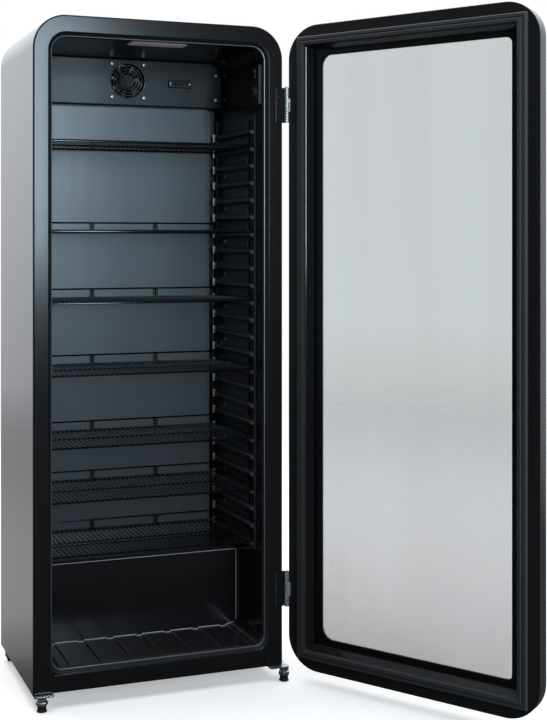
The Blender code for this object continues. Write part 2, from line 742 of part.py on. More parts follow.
def make_roller(cabinet, side_name, x):
    """A wheel on stub axles that run in the cheeks of a bent bracket."""
    cheek = 0.0110
    inner = 0.0090
    top = -GAP
    under = top - 0.002
    level = ROLLER - FLOOR_GAP
    tip = level - 0.005
    bent = [(-cheek, top), (-cheek, tip), (-inner, tip), (-inner, under)]
    bent += [(inner, under), (inner, tip), (cheek, tip), (cheek, top)]
    place = (x, ROLLER_Y, 0)
    name = f"roller_bracket_{side_name}"
    bracket = slab(name, "galvanised", [bent], -0.012, 0.012, cabinet, "XZ", place)
    hole = circle(0, level, AXLE + 0.0004, 16)
    bore = slab("bore", "foam", [hole], -2 * cheek, 2 * cheek, cabinet, "YZ", place)
    combine(bracket, "DIFFERENCE", [bore])
    wheel = [(0, -0.0125), (AXLE, -0.0125), (AXLE, -0.0072), (0.0150, -0.0070), (ROLLER, -0.0055)]
    wheel += [(radius, -along) for radius, along in reversed(wheel)]
    place = (x, ROLLER_Y, level)
    turned(f"rear_roller_{side_name}", "black_rubber", wheel, cabinet, place, "X", 18)


# Hinges.


def make_hinge(cabinet, door, place, bottom):
    """A loose-pin hinge: cabinet leaf with the end knuckles, door leaf with the middle one, pin."""
    top = bottom + HINGE_HEIGHT
    bore = circle(AXIS_X, AXIS_Y, PIN + GAP, 12)
    front = -GAP - LEAF
    curl = arc(AXIS_X, AXIS_Y, KNUCKLE, 0, -225, 12)
    shape = [(LEAF_EDGE, -GAP), (AXIS_X + KNUCKLE, -GAP)] + curl
    shape += [(curl[-1][0], front), (LEAF_EDGE, front)]
    strip = rectangle(LEAF_EDGE, front, HALF + 0.0015, -GAP)
    leaf = slab(f"hinge_leaf_{place}", "zinc", [strip], bottom, top, cabinet, "XY")
    ends = [
        slab("low", "zinc", [shape, bore], bottom, bottom + KNUCKLE_HEIGHT, cabinet, "XY"),
        slab("high", "zinc", [shape, bore], top - KNUCKLE_HEIGHT, top, cabinet, "XY"),
    ]
    combine(leaf, "UNION", ends)

    seat = DOOR_INNER + GAP
    curl = arc(AXIS_X, AXIS_Y, KNUCKLE, -90, 200, 14)
    shape = [(LEAF_EDGE, seat), (AXIS_X, seat)] + curl
    shape += [(curl[-1][0], seat + LEAF), (LEAF_EDGE, seat + LEAF)]
    strip = rectangle(LEAF_EDGE, seat, HALF, seat + LEAF)
    shut = (-AXIS_X, -AXIS_Y, 0)
    leaf = slab(f"door_leaf_{place}", "zinc", [strip], bottom, top, door, "XY", shut)
    inside = KNUCKLE_HEIGHT + 2 * GAP
    middle = slab("middle", "zinc", [shape, bore], bottom + inside, top - inside, door, "XY", shut)
    combine(leaf, "UNION", [middle])

    head = top + GAP
    pin = [(0, bottom), (PIN, bottom), (PIN, head), (KNUCKLE, head)]
    pin += [(KNUCKLE, head + 0.0015), (0, head + 0.002)]
    turned(f"hinge_pin_{place}", "chrome", pin, cabinet, (AXIS_X, AXIS_Y, 0), steps=12)


# Door.


def make_door_skin(door, shut):
    """The pressed outer skin: straight sides, a rounded front edge and a return around the window."""
    straight = DOOR_FRONT + DOOR_ROUND
    sections = [(door_outline(0), DOOR_INNER), (door_outline(0), straight)]
    for i in range(1, 4):
        angle = radians(30 * i)
        inset = DOOR_ROUND * (1 - cos(angle))
        sections.append((door_outline(inset), straight - DOOR_ROUND * sin(angle)))
    window = door_outline(WINDOW, 0.030)
    behind = door_outline(WINDOW - SKIN, 0.031)
    deep = OUTER_GLASS - 2 * GAP
    sections += [(window, DOOR_FRONT), (window, deep), (behind, deep)]
    sections += [(behind, DOOR_FRONT + SKIN)]
    radius = DOOR_ROUND - SKIN
    for i in reversed(range(4)):
        angle = radians(30 * i)
        inset = DOOR_ROUND - radius * cos(angle)
        sections.append((door_outline(inset), straight - radius * sin(angle)))
    sections.append((door_outline(SKIN), DOOR_INNER))
    ring("door_skin", "outer_paint", sections, door, shut)


def make_door_core(door, shut):
    """The foam between the skin and the inner frame, following the skin's rounded front edge."""
    back = DOOR_INNER - FRAME_WALL - GAP
    inner = door_outline(GLASS_INSET - 0.0005, 0.005)
    sections = [(door_outline(0.0015), back), (inner, back), (inner, OUTER_GLASS)]
    for inset, height in ((0.0250, 0.0030), (0.0145, 0.0055), (0.0055, 0.0135), (0.0015, 0.0255)):
        sections.append((door_outline(inset), DOOR_FRONT + height))
    ring("door_core", "foam", sections, door, shut)


def make_door_inner_frame(door, shut):
    """The inner flange and the sloping reveal that runs from it to the glass."""
    edge = SKIN + GAP
    deep = DOOR_INNER - REVEAL_DEPTH
    square = 0.003
    sections = [
        (door_outline(edge), DOOR_INNER),
        (door_outline(REVEAL, square), DOOR_INNER),
        (door_outline(REVEAL_FOOT, square), deep),
        (door_outline(REVEAL_FOOT - FRAME_WALL, square), deep),
        (door_outline(REVEAL - FRAME_WALL, square), DOOR_INNER - FRAME_WALL),
        (door_outline(edge), DOOR_INNER - FRAME_WALL),
    ]
    ring("door_inner_frame", "frame_paint", sections, door, shut)


def make_door_gasket(door, shut):
    """A magnetic seal with a low outer band, a groove and a high inner band, mitred at the corners."""
    seat = DOOR_INNER + GAP
    profile = [(GASKET_OUTER, seat), (GASKET_OUTER, -0.0055), (0.0285, -0.0032), (0.0340, -0.0026)]
    profile += [(0.0360, -0.0045), (0.0380, -0.0014), (0.0440, -0.0008), (GASKET_INNER, -0.0030)]
    profile.append((GASKET_INNER, seat))
    sections = [(door_outline(inset, 0), y) for inset, y in profile]
    ring("door_gasket", "gasket_rubber", sections, door, shut)


def make_glazing(door, shut):
    """Two panes held apart by a spacer frame near their edges."""
    shape = door_outline(GLASS_INSET, 0.012, 4)
    inner_back = INNER_GLASS - PANE
    outer_back = OUTER_GLASS + PANE
    slab("inner_pane", "glass", [shape], inner_back, INNER_GLASS, door, location=shut)
    slab("outer_pane", "glass", [shape], OUTER_GLASS, outer_back, door, location=shut)
    loops = [door_outline(GLASS_INSET + 0.003, 0.010, 4), door_outline(GLASS_INSET + 0.013, 0.006, 4)]
    slab("glass_spacer", "aluminium", loops, outer_back + GAP, inner_back - GAP, door, location=shut)


def make_handle(door, shut):
    """A bar handle near the door's free edge, its ends bent back to the skin."""
    x = -DOOR_HALF + HANDLE_INSET
    face = DOOR_FRONT - GAP
    grip = DOOR_FRONT - HANDLE_REACH
    low, high = HANDLE_ENDS
    points = [(x, face, low), (x, grip, low), (x, grip, high), (x, face, high)]
    tube("door_handle", "chrome", rounded_path(points, 0.018, 5), 0.008, door, shut, 12)


# Shelves.


def shelf_mesh(cabinet):
    """One wire shelf: bars from front to back in a rim, and a raised rail along the rear."""
    pitch = (2 * SHELF_HALF - WIRE) / (SHELF_WIRES - 1)
    loops = [rectangle(-SHELF_HALF, 0, SHELF_HALF, SHELF_DEPTH)]
    for i in range(SHELF_WIRES - 1):
        left = -SHELF_HALF + WIRE + i * pitch
        loops.append(rectangle(left, WIRE, left + pitch - WIRE, SHELF_DEPTH - WIRE))
    shelf = slab("shelf", "black_wire", loops, 0, WIRE, cabinet, "XY")
    back = SHELF_DEPTH - 0.0005
    front = back - WIRE + 0.001
    end = SHELF_HALF - 0.0005
    low = (-end, front, RAIL_HEIGHT - WIRE)
    rail = [block("rail", "black_wire", low, (end, back, RAIL_HEIGHT), cabinet)]
    for i in range(4):
        middle = (i - 1.5) * (2 * end - WIRE) / 3
        low = (middle - WIRE / 2, front, WIRE / 2)
        high = (middle + WIRE / 2, back, RAIL_HEIGHT - WIRE / 2)
        rail.append(block(f"post_{i}", "black_wire", low, high, cabinet))
    combine(shelf, "UNION", rail)
    mesh = shelf.data
    bpy.data.objects.remove(shelf)
    return mesh


def make_shelves(cabinet):
    mesh = shelf_mesh(cabinet)
    for number, row in enumerate(SHELF_ROWS, start=1):
        shelf = bpy.data.objects.new(f"shelf_{number}", mesh)
        bpy.context.collection.objects.link(shelf)
        shelf.parent = cabinet
        shelf.location = (0, SHELF_FRONT, FIRST_ROW + row * ROW_PITCH + GAP)


def build():
    clear_scene()
    make_materials()
    cabinet = make_empty("cabinet", -FOOT_LEFT)
    door = make_empty("door_axis", (AXIS_X, AXIS_Y, 0), cabinet)
    door.rotation_euler.z = radians(DOOR_OPEN)
    shut = (-AXIS_X, -AXIS_Y, 0)

    make_outer_wrap(cabinet)
    make_inner_liner(cabinet)
    make_insulation(cabinet)
    make_front_frame(cabinet)
    make_kick_strip(cabinet)
    make_rear_panel(cabinet)
    make_base_plate(cabinet)
    make_ladder(cabinet, "left", -1)
    make_ladder(cabinet, "right", 1)
    make_back_duct_panel(cabinet)
    make_evaporator_plate(cabinet)
    make_fan_cover(cabinet)
    make_fan_housing(cabinet)
    make_fan_guard(cabinet)
    make_fan_rotor(cabinet)
    make_sensor_cover(cabinet)
    make_lamp(cabinet)
    make_controls(cabinet)
    make_compressor(cabinet)
    make_condenser(cabinet)
    make_power_cord(cabinet)
    make_foot(cabinet, "left", FOOT_LEFT, (-HALF, -0.012), (-HALF + 0.045, 0.040))
    make_foot(cabinet, "right", FOOT_RIGHT, (HALF - 0.035, -0.012), (HALF + 0.0125, 0.040))
    make_roller(cabinet, "left", -ROLLER_X)
    make_roller(cabinet, "right", ROLLER_X)
    for place, bottom in HINGE_BOTTOMS.items():
        make_hinge(cabinet, door, place, bottom)
    make_door_skin(door, shut)
    make_door_core(door, shut)
    make_door_inner_frame(door, shut)
    make_door_gasket(door, shut)
    make_glazing(door, shut)
    make_handle(door, shut)
    make_shelves(cabinet)


build()
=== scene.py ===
"""Finished surfaces, light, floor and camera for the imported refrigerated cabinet.

Pieces are modelled in the cabinet's own frame: X across from its middle, Y inward from the front
flange, Z up from the shell's lower edge. The door is modelled shut and then swung to its rest angle.
"""

import json
from math import cos, pi, radians, sin

import bmesh
import bpy
from mathutils import Matrix, Vector


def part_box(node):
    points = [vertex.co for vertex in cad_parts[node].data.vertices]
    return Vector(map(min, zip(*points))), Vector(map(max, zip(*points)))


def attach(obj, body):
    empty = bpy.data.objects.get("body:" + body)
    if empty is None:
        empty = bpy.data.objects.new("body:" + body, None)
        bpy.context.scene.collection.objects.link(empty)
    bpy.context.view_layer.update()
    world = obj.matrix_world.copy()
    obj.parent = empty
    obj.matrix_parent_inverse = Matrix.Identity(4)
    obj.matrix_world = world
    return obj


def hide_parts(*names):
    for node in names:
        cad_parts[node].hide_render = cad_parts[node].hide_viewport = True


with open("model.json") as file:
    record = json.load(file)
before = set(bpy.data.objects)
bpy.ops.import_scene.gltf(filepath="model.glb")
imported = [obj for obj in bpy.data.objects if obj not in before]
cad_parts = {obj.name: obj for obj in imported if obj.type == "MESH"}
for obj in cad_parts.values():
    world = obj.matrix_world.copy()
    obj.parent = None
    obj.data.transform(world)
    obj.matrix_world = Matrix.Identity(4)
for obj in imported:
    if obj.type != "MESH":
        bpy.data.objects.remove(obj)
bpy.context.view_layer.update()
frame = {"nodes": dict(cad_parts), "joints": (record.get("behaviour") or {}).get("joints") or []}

# Where the cabinet's frame and the door's axis are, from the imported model.
WRAP_LOW, WRAP_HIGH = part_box("outer_wrap")
ORIGIN = Vector(((WRAP_LOW.x + WRAP_HIGH.x) / 2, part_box("front_frame")[0].y, WRAP_LOW.z))
CABINET = Matrix.Translation(ORIGIN)
HINGE = next(joint for joint in frame["joints"] if joint["name"] == "door_hinge")
AXIS = Vector(HINGE["pos_m"])
SWING = Matrix.Rotation(radians(-HINGE["range_deg"][0]), 4, "Z")
DOOR = Matrix.Translation(AXIS) @ SWING @ Matrix.Translation(-AXIS) @ CABINET

# Shell and food space.
HALF = (WRAP_HIGH.x - WRAP_LOW.x) / 2
HEIGHT = WRAP_HIGH.z - WRAP_LOW.z
DEPTH = WRAP_HIGH.y - ORIGIN.y
CORNER = 0.075
SKIN = 0.001
CAVITY_HALF = 0.2535
CAVITY_FLOOR = 0.050
CAVITY_CEILING = 1.447
CAVITY_BACK = 0.318
TOP_RADIUS = 0.032
BOTTOM_RADIUS = 0.024
CHANNELS = [(i - 3) * 0.072 for i in range(7)]
CHANNEL_HALF = 0.0090
CHANNEL_FLAT = 0.0065
FLANGE_EDGE = 0.009
LINER = 0.0015
HUMP_FRONT = 0.177
HUMP_TOP = 0.243
BAY_HALF = 0.268
BAY_FRONT = 0.210
BAY_TOP = 0.205

# Ladders and shelves.
ROW_PITCH = 0.04075
FIRST_ROW = 0.280
ROW_COUNT = 25
ROWS = [FIRST_ROW + row * ROW_PITCH for row in range(ROW_COUNT)]
LADDER_FRONT = 0.055
LADDER_BACK = 0.299
RIB_REACH = 0.012
SHELF_HALF = 0.2495
SHELF_DEPTH = 0.251
SHELF_BACK = 0.301

# Fan and its cover.
COVER_FRONT = 0.285
COVER_BOTTOM = 1.330
FAN_X = 0.005
FAN_Z = 1.392
FAN_BORE = 0.0435
FAN_SCREWS = 0.0825
BLADES = 7
PROBE_LEFT = FAN_X + 0.106
PROBE_RIGHT = FAN_X + 0.166
PROBE_LOW = 1.379
PROBE_HIGH = 1.399

# Lamp and control box.
LAMP_Y = 0.036
CONTROL_Y = 0.038
CONTROL_Z = 1.362
DIAL_Z = 1.345
ROCKER_Z = 1.388

# Door.
DOOR_HALF = 0.3015
DOOR_CORNER = 0.076
DOOR_INNER = -0.012
DOOR_FRONT = -0.067
DOOR_ROUND = 0.025
OUTER_GLASS = DOOR_FRONT + 0.007
OUTER_BORDER = 0.0645
INNER_BORDER = 0.0700
REVEAL = 0.047
REVEAL_FOOT = 0.0575
REVEAL_DEPTH = 0.020
GLASS_INSET = 0.042
WINDOW = 0.062
PANE = 0.004
HANDLE_INSET = 0.045
HANDLE_ENDS = (0.640, 0.960)

# Hinges and feet.
AXIS_X = AXIS.x - ORIGIN.x
AXIS_Y = AXIS.y - ORIGIN.y
KNUCKLE = 0.0051
LEAF_EDGE = HALF - 0.017
HINGE_HEIGHT = 0.082
HINGE_BOTTOMS = {"upper": 1.271, "lower": 0.139}
KNUCKLE_HEIGHT = 0.025


# Outlines in a plane: lists of (u, v) points.


def arc(u, v, radius, start, end, steps):
    if radius == 0:
        return [(u, v)]
    angles = [radians(start + (end - start) * i / steps) for i in range(steps + 1)]
    return [(u + radius * cos(a), v + radius * sin(a)) for a in angles]


def circle(u, v, radius, steps=48):
    return arc(u, v, radius, 0, 360, steps)[:-1]


def rectangle(low_u, low_v, high_u, high_v):
    return [(low_u, low_v), (high_u, low_v), (high_u, high_v), (low_u, high_v)]


def outline(half, bottom, top, top_radius, bottom_radius, steps=14):
    low = bottom + bottom_radius
    high = top - top_radius
    return (
        arc(-half + bottom_radius, low, bottom_radius, 180, 270, steps)
        + arc(half - bottom_radius, low, bottom_radius, 270, 360, steps)
        + arc(half - top_radius, high, top_radius, 0, 90, steps)
        + arc(-half + top_radius, high, top_radius, 90, 180, steps)
    )


def shifted(points, u, v):
    return [(a + u, b + v) for a, b in points]


def cavity_outline(grow=0.0, steps=14):
    return outline(
        CAVITY_HALF + grow,
        CAVITY_FLOOR - grow,
        CAVITY_CEILING + grow,
        TOP_RADIUS + grow,
        BOTTOM_RADIUS + grow,
        steps,
    )


def door_outline(inset, radius=None, steps=16):
    corner = DOOR_CORNER - inset if radius is None else radius
    return outline(DOOR_HALF - inset, inset, HEIGHT - inset, corner, corner, steps)


def arch(half, bottom, top, radius, steps=20):
    left = arc(-half + radius, top - radius, radius, 180, 90, steps)
    right = arc(half - radius, top - radius, radius, 90, 0, steps)
    return [(-half, bottom)] + left + right + [(half, bottom)]


# Solids. Each returns a new bmesh.

PLANES = {
    "XZ": lambda u, v, level: (u, level, v),
    "XY": lambda u, v, level: (u, v, level),
    "YZ": lambda u, v, level: (level, u, v),
}


def soften(bm, width, segments=2, angle=0.5):
    """Rounds every edge whose faces meet at more than angle radians."""
    bmesh.ops.recalc_face_normals(bm, faces=bm.faces)
    edges = [e for e in bm.edges if len(e.link_faces) == 2 and e.calc_face_angle() > angle]
    bmesh.ops.bevel(
        bm, geom=edges, offset=width, segments=segments, profile=0.5, affect="EDGES", clamp_overlap=True
    )
    return bm


def plate(loops, low, high, plane="XZ", edge=0.0, segments=2):
    """The area inside the first loop and outside the others, from level low to level high."""
    place = PLANES[plane]
    bm = bmesh.new()
    edges = []
    for loop in loops:
        verts = [bm.verts.new(place(u, v, low)) for u, v in loop]
        edges += [bm.edges.new((verts[i - 1], verts[i])) for i in range(len(verts))]
    bmesh.ops.triangle_fill(bm, use_beauty=True, edges=edges)
    grown = bmesh.ops.extrude_face_region(bm, geom=bm.faces[:])["geom"]
    raised = [item for item in grown if isinstance(item, bmesh.types.BMVert)]
    bmesh.ops.translate(bm, verts=raised, vec=place(0, 0, high - low))
    if edge:
        bmesh.ops.dissolve_limit(bm, angle_limit=0.01, verts=bm.verts, edges=bm.edges)
        soften(bm, edge, segments)
    return bm


def box(low, high, edge=0.0, segments=2):
    bm = bmesh.new()
    bmesh.ops.create_cube(bm, size=1)
    bmesh.ops.scale(bm, verts=bm.verts, vec=Vector(high) - Vector(low))
    bmesh.ops.translate(bm, verts=bm.verts, vec=(Vector(high) + Vector(low)) / 2)
    if edge:
        soften(bm, edge, segments)
    return bm


def side_box(side, near, far, low, high, edge=0.0):
    """A box on one side, from near to far of the middle; low and high are its (y, z) corners."""
    low_x, high_x = sorted((side * near, side * far))
    return box((low_x, *low), (high_x, *high), edge)


def at(x, y, z):
    return Matrix.Translation((x, y, z))


def turned(profile, centre=(0, 0, 0), axis="Z", steps=32):
    """A solid of revolution: profile is (radius, distance along the axis)."""
    bm = bmesh.new()
    verts = [bm.verts.new((radius, 0, along)) for radius, along in profile]
    edges = [bm.edges.new(pair) for pair in zip(verts, verts[1:])]
    bmesh.ops.spin(bm, geom=verts + edges, cent=(0, 0, 0), axis=(0, 0, 1), angle=2 * pi, steps=steps)
    bmesh.ops.remove_doubles(bm, verts=bm.verts, dist=1e-6)
    turns = {"X": Matrix.Rotation(pi / 2, 4, "Y"), "Y": Matrix.Rotation(-pi / 2, 4, "X")}
    return moved(bm, Matrix.Translation(centre) @ turns.get(axis, Matrix.Identity(4)))


def loft(loops, ring=False):
    """Skins a row of equal closed loops of points; a ring joins the last to the first."""
    bm = bmesh.new()
    rows = [[bm.verts.new(point) for point in loop] for loop in loops]
    pairs = list(zip(rows, rows[1:]))
    if ring:
        pairs.append((rows[-1], rows[0]))
    for near, far in pairs:
        for i in range(len(near)):
            bm.faces.new((near[i - 1], near[i], far[i], far[i - 1]))
    if not ring:
        bm.faces.new(rows[0])
        bm.faces.new(rows[-1])
    return bm


def frame_loft(sections, ring=True):
    """A loft whose sections are (outline in XZ, y)."""
    return loft([[(u, y, v) for u, v in points] for points, y in sections], ring)


def strip_sweep(rows):
    """A closed sheet swept along open paths: each row is one path, and the last row joins the first."""
    bm = bmesh.new()
    verts = [[bm.verts.new(point) for point in row] for row in rows]
    for near, far in zip(verts, verts[1:] + verts[:1]):
        for i in range(len(near) - 1):
            bm.faces.new((near[i], near[i + 1], far[i + 1], far[i]))
    for end in (0, -1):
        bm.faces.new([row[end] for row in verts])
    return bm


def tube(path, radius, sides=10, closed=False):
    """A round wire or pipe along a path."""
    points = [Vector(point) for point in path]
    last = len(points) - 1
    across = None
    loops = []
    for i, point in enumerate(points):
        before = points[i - 1] if i or closed else point
        after = points[(i + 1) % len(points)] if i < last or closed else point
        along = (after - before).normalized()
        across = along.orthogonal() if across is None else across - along * across.dot(along)
        across.normalize()
        third = along.cross(across)
        turns = [2 * pi * k / sides for k in range(sides)]
        loops.append([point + radius * (cos(t) * across + sin(t) * third) for t in turns])
    return loft(loops, ring=closed)


def rounded_path(points, radius, steps=6):
    """The path through points, each inner corner replaced by a short curve."""
    path = [Vector(points[0])]
    for before, corner, after in zip(points, points[1:], points[2:]):
        corner = Vector(corner)
        into = corner + (Vector(before) - corner).normalized() * radius
        out = corner + (Vector(after) - corner).normalized() * radius
        for i in range(steps + 1):
            t = i / steps
            path.append((1 - t) ** 2 * into + 2 * t * (1 - t) * corner + t**2 * out)
    path.append(Vector(points[-1]))
    return path


def moved(bm, matrix):
    bmesh.ops.transform(bm, matrix=matrix, verts=bm.verts)
    return bm


def dish(rows, holes, thickness):
    """A pressed sheet, thickened backwards: rows of (outline, y) from its rim to its flat face with holes."""
    bm = bmesh.new()
    loops = [[bm.verts.new((u, y, v)) for u, v in points] for points, y in rows]
    for near, far in zip(loops, loops[1:]):
        for i in range(len(near)):
            bm.faces.new((near[i - 1], near[i], far[i], far[i - 1]))
    face = loops[-1]
    level = rows[-1][1]
    edges = [bm.edges.get((face[i - 1], face[i])) for i in range(len(face))]
    for hole in holes:
        verts = [bm.verts.new((u, level, v)) for u, v in hole]
        edges += [bm.edges.new((verts[i - 1], verts[i])) for i in range(len(verts))]
    bmesh.ops.triangle_fill(bm, use_beauty=True, edges=edges)
    bmesh.ops.recalc_face_normals(bm, faces=bm.faces)
    faces = bm.faces[:]
    centre_normal = sum((f.normal * f.calc_area() for f in faces), Vector())
    if centre_normal.y > 0:
        bmesh.ops.reverse_faces(bm, faces=faces)
    bmesh.ops.solidify(bm, geom=faces, thickness=thickness)
    return bm


def join(parts):
    """One bmesh from several, which are freed."""
    whole = bmesh.new()
    for part in parts:
        bmesh.ops.recalc_face_normals(part, faces=part.faces)
        mesh = bpy.data.meshes.new("part")
        part.to_mesh(mesh)
        part.free()
        whole.from_mesh(mesh)
        bpy.data.meshes.remove(mesh)
    return whole


def copies(source, matrices):
    """Copies of one bmesh, one for each matrix, in a new bmesh."""
    mesh = bpy.data.meshes.new("part")
    bmesh.ops.recalc_face_normals(source, faces=source.faces)
    source.to_mesh(mesh)
    source.free()
    whole = bmesh.new()
    for matrix in matrices:
        copy = bmesh.new()
        copy.from_mesh(mesh)
        moved(copy, matrix)
        placed = bpy.data.meshes.new("placed")
        copy.to_mesh(placed)
        copy.free()
        whole.from_mesh(placed)
        bpy.data.meshes.remove(placed)
    bpy.data.meshes.remove(mesh)
    return whole


def as_object(bm):
    mesh = bpy.data.meshes.new("tool")
    bmesh.ops.recalc_face_normals(bm, faces=bm.faces)
    bm.to_mesh(mesh)
    bm.free()
    obj = bpy.data.objects.new("tool", mesh)
    bpy.context.scene.collection.objects.link(obj)
    return obj


def boolean(target, operation, tools):
    """The bmesh left after a Boolean of target with each tool."""
    base = as_object(target)
    others = [as_object(tool) for tool in tools]
    for other in others:
        modifier = base.modifiers.new("cut", "BOOLEAN")
        modifier.operation = operation
        modifier.object = other
    bpy.context.view_layer.update()
    graph = bpy.context.evaluated_depsgraph_get()
    mesh = bpy.data.meshes.new_from_object(base.evaluated_get(graph))
    bm = bmesh.new()
    bm.from_mesh(mesh)
    bpy.data.meshes.remove(mesh)
    for obj in [base] + others:
        bpy.data.objects.remove(obj)
    return bm


def piece(name, parts, look, replaces=(), body="cabinet", place=None, sharp=32.0):
    """One finished piece on a body, from one bmesh or a list of them."""
    if place is None:
        place = DOOR if body == "door" else CABINET
    bm = join(parts) if isinstance(parts, list) else parts
    bmesh.ops.recalc_face_normals(bm, faces=bm.faces)
    mesh = bpy.data.meshes.new(name)
    bm.to_mesh(mesh)
    bm.free()
    mesh.shade_smooth()
    mesh.set_sharp_from_angle(angle=radians(sharp))
    mesh.materials.append(LOOKS[look])
    obj = bpy.data.objects.new(name, mesh)
    bpy.context.scene.collection.objects.link(obj)
    flat = obj.modifiers.new("flat_faces", "WEIGHTED_NORMAL")
    flat.keep_sharp = True
    obj.matrix_world = place
    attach(obj, body)
    if replaces:
        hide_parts(*replaces)
    return obj


# Materials.


def add_node(tree, kind, inputs=None, **settings):
    """Adds a node; an input is a value or another node's output."""
    node = tree.nodes.new(kind)
    for key, value in settings.items():
        setattr(node, key, value)
    for key, value in (inputs or {}).items():
        if isinstance(value, bpy.types.NodeSocket):
            tree.links.new(value, node.inputs[key])
        else:
            node.inputs[key].default_value = value
    return node


def ramp(tree, value, low, high, to_low=0.0, to_high=1.0, **settings):
    """Maps a value from low..high onto to_low..to_high."""
    ends = {"Value": value, "From Min": low, "From Max": high, "To Min": to_low, "To Max": to_high}
    return add_node(tree, "ShaderNodeMapRange", ends, **settings).outputs["Result"]


def spread(tree, factor, low, high):
    """Maps a 0 to 1 factor onto low to high."""
    return ramp(tree, factor, 0.0, 1.0, low, high)


def maths(tree, operation, first, second):
    return add_node(tree, "ShaderNodeMath", {0: first, 1: second}, operation=operation).outputs[0]


def blend_colours(tree, factor, low, high):
    """A colour between two; each is an output or three numbers."""
    mix = add_node(tree, "ShaderNodeMix", {"Factor": factor}, data_type="RGBA")
    for key, colour in (("A", low), ("B", high)):
        if isinstance(colour, bpy.types.NodeSocket):
            tree.links.new(colour, mix.inputs[key])
        else:
            mix.inputs[key].default_value = (*colour, 1.0)
    return mix.outputs["Result"]


def coordinates(tree, stretch):
    place = add_node(tree, "ShaderNodeTexCoord").outputs["Object"]
    return add_node(tree, "ShaderNodeMapping", {"Vector": place, "Scale": stretch}).outputs["Vector"]


def noise(tree, where, scale, detail=3.0):
    node = add_node(tree, "ShaderNodeTexNoise", {"Vector": where, "Scale": scale, "Detail": detail})
    return node.outputs["Fac"]


def make_look(
    name, colour, rough, metallic=0.0, mottle=(0.15, 9.0), grain=(900.0, 0.00002), stretch=(1.0, 1.0, 1.0),
    cells=0.0, coat=0.0, edge_sheen=0.0, gloss=1.5, wave=0.0,
):
    """A material whose colour and roughness wander a little, with a fine grain and paler convex edges as a
    painted highlight.

    rough is the roughness and its spread, mottle the colour's spread and its scale, grain the bump's
    scale and depth. cells adds zinc spangle, edge_sheen pales the edges as a painted highlight and wave bends
    wide reflections.
    """
    material = bpy.data.materials.new(f"{name}_look")
    material.use_nodes = True
    tree = material.node_tree
    shader = tree.nodes["Principled BSDF"]
    where = coordinates(tree, stretch)
    amount, size = mottle
    cloud = noise(tree, where, size)
    if cells:
        spangle = add_node(tree, "ShaderNodeTexVoronoi", {"Vector": where, "Scale": cells})
        grey = add_node(tree, "ShaderNodeRGBToBW", {"Color": spangle.outputs["Color"]}).outputs["Val"]
        cloud = add_node(tree, "ShaderNodeMix", {"Factor": 0.6, "A": cloud, "B": grey}).outputs["Result"]
    dark = [channel * (1 - amount) for channel in colour]
    light = [min(1.0, channel * (1 + amount)) for channel in colour]
    tint = blend_colours(tree, cloud, dark, light)
    # Painted highlight: convex edges, where pointiness is high, are paled towards a lighter copy of the
    # colour.
    if edge_sheen:
        point = add_node(tree, "ShaderNodeNewGeometry").outputs["Pointiness"]
        edge = ramp(tree, point, 0.52, 0.60, 0.0, edge_sheen)
        tint = blend_colours(tree, edge, tint, [min(1.0, channel * 2.5 + 0.02) for channel in colour])
    tree.links.new(tint, shader.inputs["Base Color"])
    level, change = rough
    smear = noise(tree, where, size * 2.3, 4.0)
    tree.links.new(spread(tree, smear, level - change, level + change), shader.inputs["Roughness"])
    values = {"Metallic": metallic, "IOR": gloss, "Coat Weight": coat, "Coat IOR": gloss}
    for key, value in values.items():
        shader.inputs[key].default_value = value
    shader.inputs["Coat Roughness"].default_value = 0.08
    fine = noise(tree, where, grain[0], 2.0)
    bump = add_node(tree, "ShaderNodeBump", {"Height": fine, "Distance": grain[1], "Strength": 1.0})
    if wave:
        swell = noise(tree, coordinates(tree, (1.0, 1.0, 0.4)), 5.0, 0.0)
        wide = add_node(tree, "ShaderNodeBump", {"Height": swell, "Distance": wave})
        tree.links.new(wide.outputs["Normal"], bump.inputs["Normal"])
    tree.links.new(bump.outputs["Normal"], shader.inputs["Normal"])
    return material


def make_glass():
    """Clear glazing: it darkens what is behind it a little, more towards the bottom as a painted shade, and
    reflects at its surface.
    """
    material = bpy.data.materials.new("glass_look")
    material.use_nodes = True
    tree = material.node_tree
    tree.nodes.clear()
    where = coordinates(tree, (6.0, 1.0, 0.25))
    # Painted shade: the tint darkens towards the bottom of the pane, standing in for the shade on the
    # backdrop seen through it.
    height = add_node(tree, "ShaderNodeSeparateXYZ", {0: coordinates(tree, (1.0, 1.0, 1.0))}).outputs["Z"]
    rise = ramp(tree, height, 0.05, 0.85, 0.0, 0.8)
    cloud = maths(tree, "ADD", rise, spread(tree, noise(tree, where, 3.0), 0.0, 0.3))
    tint = blend_colours(tree, cloud, (0.745, 0.735, 0.738), (0.892, 0.908, 0.910))
    clear = add_node(tree, "ShaderNodeBsdfTransparent", {"Color": tint})
    smear = spread(tree, noise(tree, where, 9.0), 0.01, 0.03)
    shine = add_node(tree, "ShaderNodeBsdfGlossy", {"Roughness": smear})
    fresnel = add_node(tree, "ShaderNodeFresnel", {"IOR": 1.45}).outputs[0]
    behind = add_node(tree, "ShaderNodeNewGeometry").outputs["Backfacing"]
    share = maths(tree, "MULTIPLY", fresnel, maths(tree, "SUBTRACT", 1.0, behind))
    layers = {0: share, 1: clear.outputs[0], 2: shine.outputs[0]}
    mix = add_node(tree, "ShaderNodeMixShader", layers)
    out = add_node(tree, "ShaderNodeOutputMaterial", {"Surface": mix.outputs[0]})
    out.is_active_output = True
    return material


def make_diffuser():
    """The lamp's milky plastic, which glows faintly."""
    colour = (0.52, 0.42, 0.44)
    material = make_look("lamp_diffuser", colour, (0.38, 0.05), mottle=(0.04, 9.0), grain=(250.0, 0.0001))
    inputs = material.node_tree.nodes["Principled BSDF"].inputs
    inputs["Subsurface Weight"].default_value = 0.3
    inputs["Subsurface Radius"].default_value = (0.01, 0.008, 0.008)
    inputs["Emission Color"].default_value = (0.75, 0.62, 0.62, 1.0)
    inputs["Emission Strength"].default_value = 0.10
    return material
